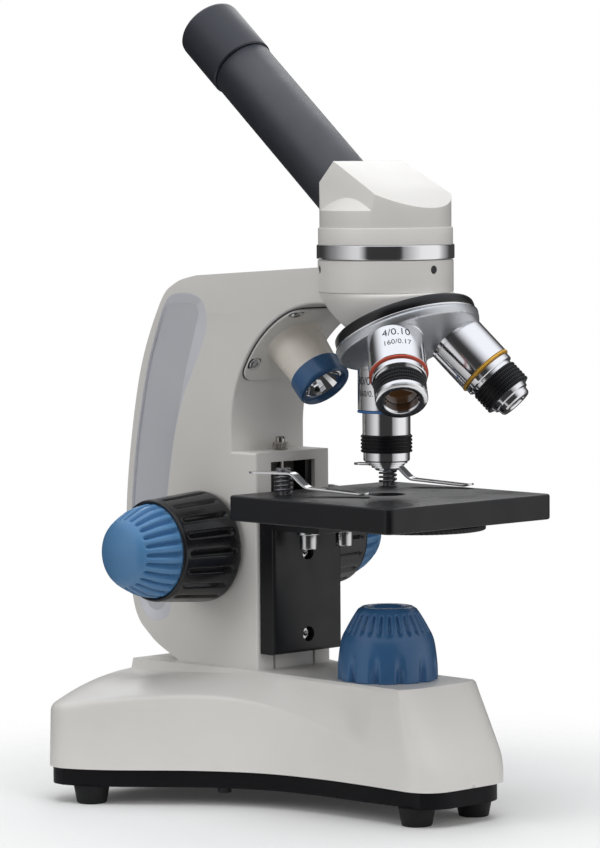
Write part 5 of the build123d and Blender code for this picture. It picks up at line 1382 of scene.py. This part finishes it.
@dataclass
class Nosepiece:
    """Turret with its three objectives and the mount above it."""

    apex_z: float = 219.4
    tilt: float = 25.8
    twist: float = -5.2
    ring_at: Pair = (25.5, 30.5)
    ring_r: float = 28.6
    ring_wall: float = 3.6
    lip_at: float = 29.8
    socket_z: float = 208.0
    mount_r: Point = (19.0, 24.4, 26.7)
    dome_r: float = 29.3
    dome_side: float = 3.5
    core_r: float = 8.0
    core_at: float = 41.4
    nut: Point = (4.5, 2.0, 2.2)
    boss_r: float = 12.3
    shoulder: float = 39.5
    barrel_r: float = 11.4
    barrel_end: float = 58.2
    band: float = 1.4
    band_r: float = 11.6
    neck_r: float = 9.6
    grip_r: float = 10.3
    grip_pitch: float = 1.6
    grip_teeth: int = 72
    bore_r: float = 6.4
    low_grip: Pair = (63.0, 70.0)
    low_end: float = 72.5
    mid_grip: Pair = (63.5, 72.5)
    mid_end: float = 77.0
    mid_nose: float = 6.6
    mid_bore: float = 3.6
    high_grip: Pair = (68.0, 75.2)
    high_nose: float = 9.3
    high_collar: float = 78.8
    high_end: float = 82.4
    high_tip: float = 4.6
    high_hole: float = 1.6
    guide_r: Pair = (5.0, 5.05)
    powers: tuple[str, ...] = ("high", "mid", "low")

    def build(self) -> None:
        """Make the nosepiece's pieces."""
        self.mount()
        self.dome()
        self.ring()
        self.barrels()
        self.bands()
        self.grips()
        self.lenses()
        self.nose()
        self.numbers()

    def axis(self) -> Vector:
        """Direction of the turret's axis, downwards."""
        tilt, twist = math.radians(self.tilt), math.radians(self.twist)
        return Vector((math.sin(tilt) * math.cos(twist), math.sin(tilt) * math.sin(twist), -math.cos(tilt)))

    def turret(self) -> Matrix:
        """Plane at the crossing point whose height runs down the turret's axis."""
        return framed((0, 0, self.apex_z), (1, 0, 0), self.axis())

    def station(self, power: str) -> Matrix:
        """Plane at the crossing point whose height runs down an objective's axis."""
        turn = Matrix.Rotation(math.radians(120 * self.powers.index(power)), 4, self.axis())
        upright = framed((0, 0, 0), (1, 0, 0), (0, 0, -1))
        return Matrix.Translation((0, 0, self.apex_z)) @ turn @ upright

    def mount(self) -> None:
        """White bowl under the socket and the pivot nut below the turret."""
        down = self.axis()
        low = Vector((0, 0, self.apex_z)) + down * (self.ring_at[0] - 0.3)
        top = Vector((0, 0, self.socket_z))
        frames = [(framed(low, (1, 0, 0), -down), self.mount_r[0]),
                  (framed((low + top) / 2, (1, 0, 0), Vector((0, 0, 1)) - down), self.mount_r[1]),
                  (framed(top, (1, 0, 0), (0, 0, 1)), self.mount_r[2])]
        rows = []
        for t in spread(0, 1, 17):
            shares = ((2 * t - 1) * (t - 1), 4 * t * (1 - t), t * (2 * t - 1))
            row = []
            for turn in spread(0, math.tau, 97):
                rims = (place @ Vector((r * math.cos(turn), r * math.sin(turn), 0)) for place, r in frames)
                row.append(sum((rim * share for rim, share in zip(rims, shares)), Vector()))
            rows.append(row)
        form = Form.skin(rows).capped()
        nut = socket_head(*self.nut).move(z=self.core_at + 0.2).place(self.turret())
        form.piece("nosepiece_bowl", WHITE, "stand", "white_cast", "nosepiece_mount")
        nut.piece("turret_pivot_nut", NICKEL, "stand", "steel")

    def dome(self) -> None:
        """Satin casting whose seats flow into the dome."""
        low, rim = self.ring_at
        inner = self.ring_r - self.ring_wall - 0.1
        form = Form.turned([(0, low), (inner, low), (inner, rim),
                            *corners(self.dome_r, rim, (-0.6, 0), (0, 0.8), (-0.6, self.dome_side)),
                            (self.core_r, self.core_at), (0, self.core_at)], 160).place(self.turret())
        limit = Form.rod(self.dome_r - 0.2, rim + 0.4, 90, 160).place(self.turret())
        for power in self.powers:
            boss = Form.rod(self.boss_r, 10, self.shoulder - 0.15).place(self.station(power))
            form.add(boss.keep(limit.copy()))
        limit.mesh.free()
        form.modified("REMESH", mode="VOXEL", voxel_size=0.45, use_smooth_shade=True)
        form.modified("SMOOTH", factor=0.5, iterations=9)
        form.piece("turret_dome", SATIN, "turret", "satin_silver", "turret_body", sharp=60.0)

    def ring(self) -> None:
        """Black grip ring above a polished lip."""
        low, high = self.ring_at
        inner, lip = self.ring_r - self.ring_wall, self.lip_at
        outline = [(inner, low), *corners(self.ring_r, low, (-1.1, 0), (-0.5, 0.2), (-0.1, 0.7), (0, 1.4)),
                   *corners(self.ring_r, lip, (0, -0.4), (-0.25, 0)), (inner, lip)]
        form = Form.turned(outline, 192).place(self.turret())
        form.piece("turret_grip_ring", KNOB_BLACK, "turret", "black_plastic", "turret_ring", sharp=50.0)
        outline = [(inner, lip), (self.ring_r - 0.25, lip),
                   *corners(self.dome_r, lip, (-0.25, 0.15), (0, 0.45)),
                   *corners(self.dome_r, high, (0, -0.1), (-0.4, 0.25)), (inner, high)]
        form = Form.turned(outline, 192).place(self.turret())
        form.piece("turret_lip", CHROME, "turret", "chrome", sharp=50.0)

    def barrel(self, front: Sequence[Pair], power: str) -> Form:
        """Barrel with a fine groove below its shoulder.

        Args:
            front: Neck and front, as radius and distance, after the end of the barrel.
            power: Which objective.

        Returns:
            The body in its place.
        """
        top = [(self.bore_r, self.shoulder),
               *corners(self.barrel_r, self.shoulder, (-0.5, 0), (0, 0.5), (0, 2.0), (-0.25, 2.15),
                        (-0.25, 2.5), (0, 2.65)),
               *corners(self.barrel_r, self.barrel_end, (0, -0.15), (-0.15, 0))]
        return Form.turned([*top, *front], 128).place(self.station(power))

    def barrels(self) -> None:
        """Three chrome barrels."""
        end, band, neck, grip = self.barrel_end, self.barrel_end + self.band, self.neck_r, self.grip_r
        low_grip, mid_grip, nose = self.low_grip[1], self.mid_grip[1], self.mid_nose
        groove = [(neck + 0.1, end), (neck + 0.1, band)]
        collar = [*groove, *corners(self.barrel_r, band, (-0.9, 0), (-0.6, 0.3)),
                  *corners(self.barrel_r, end, (-0.6, 3.6), (-0.9, 3.9)), (neck, end + 3.9)]
        low = [*collar, (neck, low_grip), *corners(grip, low_grip, (-0.2, 0), (0, 0.2)),
               *corners(grip, self.low_end, (0, -0.9), (-0.3, -0.3), (-1.0, 0)), (7.6, self.low_end),
               (7.0, self.low_end - 0.2), (6.6, self.low_end - 0.8), (self.bore_r, 66.0)]
        mid = [*collar, (neck, mid_grip), *corners(nose, mid_grip, (1.9, 0), (1.5, 1.6), (0.6, 2.0)),
               *corners(nose, self.mid_end, (0.3, -0.6), (-0.2, 0)), (4.2, self.mid_end),
               *corners(self.mid_bore, self.mid_end, (0, -0.6), (0, -2.5)), (self.mid_bore, mid_grip),
               (self.bore_r, end)]
        start, stop = self.high_grip[0], self.high_grip[1] - 2.7
        guide = self.guide_r[1]
        high = [*groove, (neck, band), (neck, stop), (guide, stop), (guide, start), (self.bore_r, start - 1.5)]
        for power, front in (("low", low), ("mid", mid), ("high", high)):
            form = self.barrel(front, power)
            form.piece(f"objective_{power}_barrel", CHROME, "turret", "chrome", f"objective_{power}", sharp=25.0)

    def bands(self) -> None:
        """Painted colour rings."""
        heights = (self.barrel_end + 0.2, self.barrel_end + self.band - 0.3)
        for power, finish, slot in (("low", RED_BAND, "red_band"), ("mid", YELLOW_BAND, "yellow_band"),
                                    ("high", BLUE_BAND, "blue_band")):
            form = Form.ring((self.neck_r + 0.1, self.band_r), heights, 0.2).place(self.station(power))
            form.piece(f"band_{power}_ring", finish, "turret", slot, f"band_{power}", sharp=50.0)

    def grips(self) -> None:
        """Milled black grips, cut across by turned grooves."""
        form = Form()
        for power, (low, high) in (("high", self.high_grip), ("low", self.low_grip), ("mid", self.mid_grip)):
            inner, outer = self.neck_r + 0.1, self.grip_r
            rows = max(3, round((high - low) / self.grip_pitch))
            pitch = (high - low) / rows
            wall: list[Pair] = []
            for index in range(rows):
                start = low + index * pitch
                wall += corners(outer, start, (-0.45, 0.05), (-0.4, 0.3), (0, 0.5))
                wall += corners(outer, start + pitch, (0, -0.3), (-0.4, -0.1))
            ring = Form.turned([(inner, low), *wall, (inner, high)], self.grip_teeth * 4)
            ring.shape(grooved(self.grip_teeth, 0.42, 0.6, outer - 0.2))
            form.add(ring.place(self.station(power)))
        form.piece("objective_milled_grips", BLACK_COAT, "turret", "black_metal", "objective_grips", sharp=30.0)

    def lenses(self) -> None:
        """Front lenses, the low power one deep in its amber bore."""
        low, mid = self.low_grip[1] - 2.2, self.mid_end - 1.5
        wide = self.bore_r - 0.1
        form = Form.turned([(0, low), (wide, low), (wide, low + 0.5), (self.bore_r * 0.6, low + 1.0),
                            (0, low + 1.2)], 64)
        form.place(self.station("low"))
        small = Form.turned([(0, mid), (3.5, mid), (3.5, mid + 0.7), (2.0, mid + 1.05), (0, mid + 1.2)], 48)
        form.add(small.place(self.station("mid")))
        form.piece("objective_front_lenses", AMBER, "turret", "lens", "objective_lenses", sharp=50.0)

    def nose(self) -> None:
        """Sprung chrome nose of the high power objective."""
        back, start, nose, tip = self.high_grip[0], self.high_grip[1] - 0.9, self.high_nose, self.high_tip
        hole, guide = self.high_hole, self.guide_r[0]
        outline = [(hole, back), (guide, back), (guide, start), *corners(nose, start, (-0.2, 0), (0, 0.2)),
                   *corners(nose, self.high_collar, (0, -0.5), (-0.5, 0), (-1.0, 0.1), (-1.0, 0.7), (-1.3, 0.8),
                            (-2.1, 0.85), (-2.1, 1.6), (-2.4, 1.7), (-3.3, 1.75), (-3.3, 2.5), (-3.6, 2.6)),
                   (tip + 0.2, self.high_collar + 2.65), *corners(tip, self.high_end, (0, -0.3), (-0.3, 0)),
                   (hole + 0.8, self.high_end), (hole, self.high_end - 0.5)]
        form = Form.turned(outline, 128).place(self.station("high"))
        form.piece("objective_sprung_nose", CHROME, "sprung_nose", "chrome", "sprung_nose", sharp=25.0)

    def numbers(self) -> None:
        """Magnification and aperture numbers engraved round the barrels."""
        for power, first, facing in (("low", "4/0.10", 157.0), ("mid", "10/0.25", 40.0),
                                     ("high", "40/0.65", 84.0)):
            form = Form()
            for text, size, at in ((first, 4.6, self.shoulder + 8.4), ("160/0.17", 3.3, self.shoulder + 13.0)):
                form.add(self.wrapped(text, size, at, facing))
            form.place(self.station(power))
            form.piece(f"objective_{power}_numbers", INK, "turret", "black_metal")

    def wrapped(self, text: str, size: float, at: float, facing: float) -> Form:
        """Numbers laid round a barrel.

        Args:
            text: What to write.
            size: Height of the type.
            at: Distance of the base line from the crossing point.
            facing: Direction that the text faces, in degrees about the barrel.

        Returns:
            The thin raised numbers.
        """
        data = bpy.data.curves.new("type", "FONT")
        data.body = text
        data.size = size
        data.align_x = "CENTER"
        made = bpy.data.objects.new("type", data)
        bpy.context.scene.collection.objects.link(made)
        bpy.context.view_layer.update()
        flat = bpy.data.meshes.new_from_object(made.evaluated_get(bpy.context.evaluated_depsgraph_get()))
        bpy.data.objects.remove(made)
        bpy.data.curves.remove(data)
        form = Form()
        form.mesh.from_mesh(flat)
        bpy.data.meshes.remove(flat)
        bmesh.ops.subdivide_edges(form.mesh, edges=form.mesh.edges[:], cuts=2, use_grid_fill=True)
        middle = math.radians(facing)
        radius = self.barrel_r + 0.05

        def wrap(point: Vector) -> Vector:
            """The flat point's place on the barrel."""
            turn = middle - point.x / radius
            return Vector((radius * math.cos(turn), radius * math.sin(turn), at - point.y))
        return form.shape(wrap)


@dataclass
class Head:
    """Prism housing, chrome ring, sloping tube and eyepiece."""

    ring_r: float = 27.4
    ring_z: Pair = (221.2, 227.0)
    spigot: Pair = (20.0, 9.0)
    light_r: float = 6.0
    radius: float = 26.8
    groove_z: float = 233.7
    groove: float = 0.6
    shoulder_z: float = 240.5
    facet_half: float = 19.0
    facet_lean: float = 8.5
    ridge: Pair = (-9.8, 260.0)
    roof: float = 27.2
    fold_z: float = 229.7
    eye_tilt: float = 50.4
    tube_r: float = 12.95
    bore_r: float = 11.65
    tube_at: Pair = (21.0, 107.4)
    cap_r: float = 13.6
    cap_at: Pair = (107.7, 134.7)
    hole_r: float = 7.0
    edge: float = 1.1

    def build(self) -> None:
        """Make the head's pieces."""
        self.housing()
        self.collar()
        self.tube()
        self.cap()

    def eye(self) -> Matrix:
        """Plane at the fold of the light whose height runs up the eyepiece tube."""
        tilt = math.radians(self.eye_tilt)
        across, up = math.cos(tilt), math.sin(tilt)
        return framed((0, 0, self.fold_z), (across, 0, up), (-up, 0, across))

    def housing(self) -> None:
        """White housing: a round band below, flat cheeks, sloping roof and a slanted rear."""
        low, high = self.groove_z - 0.4, self.ridge[1] + 1
        inner = self.radius - self.groove
        form = Form.rod(inner, low, high, 192)
        lean = math.radians(self.facet_lean)
        for side in (-1, 1):
            form.slice((0, side * self.facet_half, self.ridge[1]), (0, side * math.cos(lean), math.sin(lean)))
        cone = [(0, low), (inner, low), (inner, self.shoulder_z), (0, self.shoulder_z + inner)]
        form.join(Form.turned(cone, 192))
        slope, tilt = math.radians(self.roof), math.radians(self.eye_tilt)
        ridge = (self.ridge[0], 0, self.ridge[1])
        form.slice(ridge, (math.sin(slope), 0, math.cos(slope)))
        form.slice(ridge, (-math.sin(tilt), 0, math.cos(tilt)))
        form.modified("BEVEL", width=self.edge, segments=4, limit_method="ANGLE", angle_limit=math.radians(22),
                      miter_outer="MITER_ARC")
        form.cut(Form.rod(self.tube_r + 0.1, 18, 90).place(self.eye()))
        start, end = self.ring_z[1], self.groove_z
        form.add(Form.turned([(0, start), *corners(self.radius, start, (-0.2, 0), (0, 0.2)),
                              *corners(self.radius, end, (0, -0.45), (-0.13, -0.13), (-0.45, 0)),
                              (0, end)], 192))
        form.piece("prism_housing", WHITE, "head", "white_cast", "head_housing", sharp=30.0)

    def collar(self) -> None:
        """Chrome ring with rounded edges."""
        low, high = self.ring_z
        (spigot_r, depth), light = self.spigot, self.light_r
        outline = [(light, low - depth), (spigot_r, low - depth), (spigot_r, low),
                   *corners(self.ring_r, low, (-0.5, 0), (-0.15, 0.15), (0, 0.5), (0, 0.9)),
                   *corners(self.ring_r, high, (0, -0.9), (0, -0.5), (-0.15, -0.15), (-0.5, 0)), (light, high)]
        Form.turned(outline, 192).piece("head_collar", CHROME, "head", "chrome", "head_ring", sharp=25.0)

    def tube(self) -> None:
        """Satin black tube."""
        low, high = self.tube_at
        form = Form.turned([(self.bore_r, low), (self.tube_r, low),
                            *corners(self.tube_r, high, (0, -0.4), (-0.4, 0)),
                            *corners(self.bore_r, high, (0.3, 0), (0, -0.3))], 128)
        form.place(self.eye())
        form.piece("sloping_tube", TUBE_COAT, "head", "black_metal", "eyepiece_tube", sharp=50.0)

    def cap(self) -> None:
        """Black eye-end with a rounded rim and a dished viewing hole."""
        low, high = self.cap_at
        rest = self.hole_r + 3
        outline = [(rest, low), *corners(self.cap_r, low, (-0.5, 0), (0, 0.5)),
                   *corners(self.cap_r, high, (0, -2.0), (-0.2, -1.0), (-0.8, -0.25), (-1.6, 0)),
                   *corners(self.hole_r, high, (2.6, 0), (2.0, -0.2), (0, -2.0), (0, -2.4)), (rest, high - 2.4)]
        form = Form.turned(outline, 128).place(self.eye())
        form.piece("eye_end", EYE_BLACK, "eyepiece", "black_plastic", "eyepiece_cap", sharp=40.0)


@dataclass
class TopLamp:
    """Lamp in the arch of the arm."""

    arch: Pair = (-17.0, 151.0)
    arch_r: float = 52.5
    angle: float = 135.0
    tube_r: float = 10.4
    wall: float = 1.8
    front: float = 25.2
    bezel: float = 8.6
    bezel_r: float = 11.4
    facets: int = 18
    led_r: float = 2.5
    plate_thick: float = 1.2
    plate_half: float = 19.0
    plate_angles: Pair = (106.0, 157.0)
    plate_corner: float = 5.0
    screw_angles: Pair = (111.0, 148.0)
    screw_y: float = 15.6
    screw_head: Point = (2.7, 1.7, 1.5)
    gasket: Pair = (0.35, 0.4)
    gasket_r: Pair = (2.6, 3.35)
    flare: Line = ((0.0, 36.0), (0.6, 43.0), (1.1, 48.0), (1.6, 49.9), (2.6, 51.2), (4.2, 52.2))

    def build(self) -> None:
        """Make the cover, the tube, the rim and the reflector."""
        self.plate()
        self.screws()
        self.housing()
        self.rim()
        self.funnel()

    def on_arch(self, angle: float, y: float, radius: float) -> Vector:
        """Point at an angle round the arch, in degrees, and a distance from its centre."""
        turn = math.radians(angle)
        return Vector((self.arch[0] + radius * math.cos(turn), y, self.arch[1] + radius * math.sin(turn)))

    def cover(self, grow: float, thick: float) -> Form:
        """Curved sheet with round corners that lies in the arch.

        Args:
            grow: How far it reaches past the cover's outline.
            thick: Thickness of the sheet.

        Returns:
            The closed sheet.
        """
        inner = self.arch_r - 0.1 - thick
        more = math.degrees(grow / inner)
        start, end = self.plate_angles[0] - more, self.plate_angles[1] + more
        round_r = self.plate_corner + grow
        corner = math.degrees(round_r / inner)
        rows = []
        for angle in round_ended((start, end), (corner, corner), 30, 9):
            over = max(start + corner - angle, angle - end + corner, 0.0) / corner
            reach = self.plate_half + grow - round_r * (1 - math.sqrt(max(0.0, 1 - over * over)))
            rows.append([self.on_arch(angle, y, inner) for y in spread(-reach, reach, 13)])
        return Form.skin(rows).clean().thickened(thick, self.on_arch(self.angle, 0, 0.0))

    def plate(self) -> None:
        """Curved cover over a dark gasket that shows as its outline."""
        sheet = self.cover(0.0, self.plate_thick).soften(0.3, 3, 60.0)
        sheet.piece("lamp_cover", WHITE, "stand", "white_cast", "lamp_plate")
        form = self.cover(*self.gasket)
        inner, outer = self.gasket_r
        for seat in self.seats(self.arch_r - self.plate_thick):
            form.add(Form.turned([(inner, 0), (outer, 0), (outer, 0.16), (inner, 0.16)], 48).place(seat))
        form.piece("lamp_gasket", INK, "stand", "black_plastic")

    def seats(self, radius: float) -> list[Matrix]:
        """Planes of the four screws at a distance from the arch's centre, with their heights inward."""
        return [framed(self.on_arch(angle, side * self.screw_y, radius), (0, 1, 0),
                       self.on_arch(angle, 0, 0.0) - self.on_arch(angle, 0, 1.0))
                for angle in self.screw_angles for side in (-1, 1)]

    def screws(self) -> None:
        """Four socket screws in the cover."""
        form = Form()
        for seat in self.seats(self.arch_r - 0.5):
            form.add(socket_head(*self.screw_head).place(seat))
        form.piece("lamp_cover_screws", STEEL, "stand", "steel", "lamp_screws", sharp=30.0)

    def housing(self) -> None:
        """White tube, its white brightened as painted light, that widens a little towards the cover."""
        start, inner = self.front + self.bezel, self.tube_r - self.wall
        wide = self.tube_r
        flare = curve(corners(wide, 0.0, *self.flare), 36)
        outline = [(inner, start), (wide - 0.4, start), (wide, start + 0.4), *flare, (inner, flare[-1][1])]
        form = Form.turned(outline, 128).place(self.place())
        ring = arc(self.arch, self.arch_r - 0.1 - self.plate_thick + 0.3, 0, 357, 120)
        form.keep(Form.upright(ring, 40.0)).clean()
        # The tube's brighter white is painted light against the arch's shade.
        form.piece("lamp_tube", WHITE_PAINTED_LIGHT, "stand", "white_cast", "lamp_housing")

    def place(self) -> Matrix:
        """Plane at the arch's centre whose height runs out along the lamp."""
        turn = math.radians(self.angle)
        return framed((self.arch[0], 0, self.arch[1]), (0, 1, 0), (math.cos(turn), 0, math.sin(turn)))

    def rim(self) -> None:
        """Blue rim with a rounded lip."""
        low, high = self.front, self.front + self.bezel
        mouth = self.tube_r - self.wall
        outline = [*corners(mouth, low, (0.6, 0.4), (0.9, 0.1)),
                   *corners(self.bezel_r, low, (-1.3, 0), (-0.5, 0.4), (-0.1, 1.1), (0, 1.9)),
                   *corners(self.bezel_r, high, (0, -0.3), (-0.3, 0)), (mouth, high), (mouth, low + 2.0)]
        form = Form.turned(outline, 128).place(self.place())
        form.piece("lamp_rim", BLUE_LAMP, "stand", "blue_lamp", "lamp_bezel", sharp=40.0)

    def funnel(self) -> None:
        """Faceted bright funnel."""
        mouth = self.tube_r - self.wall - 0.1
        start, end = self.front + 2.0, self.front + self.bezel + 3.0
        throat = self.led_r + 0.1
        bowl = [(mouth - 0.8 + (throat - mouth + 0.8) * t ** 1.25, start + (end - 1.0 - start) * t)
                for t in spread(0, 1, 7)]
        form = Form.turned([(mouth, start), *bowl, (throat, end), (mouth, end)], self.facets)
        form.place(self.place()).piece("lamp_funnel", MIRROR, "stand", "reflector", "lamp_reflector", sharp=8.0)


def dress_solids() -> None:
    """Give every carried-over solid its finish."""
    for finish, nodes in SOLIDS.items():
        for node in nodes:
            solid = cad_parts[node]
            solid.data.materials.clear()
            solid.data.materials.append(finish.material())
            LOG.info("solid %s: %s", node, finish.name)


def main() -> None:
    """Build the microscope's looks and its studio."""
    logging.basicConfig(level=logging.INFO, format="%(message)s")
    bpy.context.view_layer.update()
    dress_solids()
    for assembly in (Base(), Arm(), Drive(), BottomLamp(), Stage(), Clips(), Nosepiece(), Head(), TopLamp()):
        assembly.build()
    Studio().build()


if __name__ == "__main__":
    main()
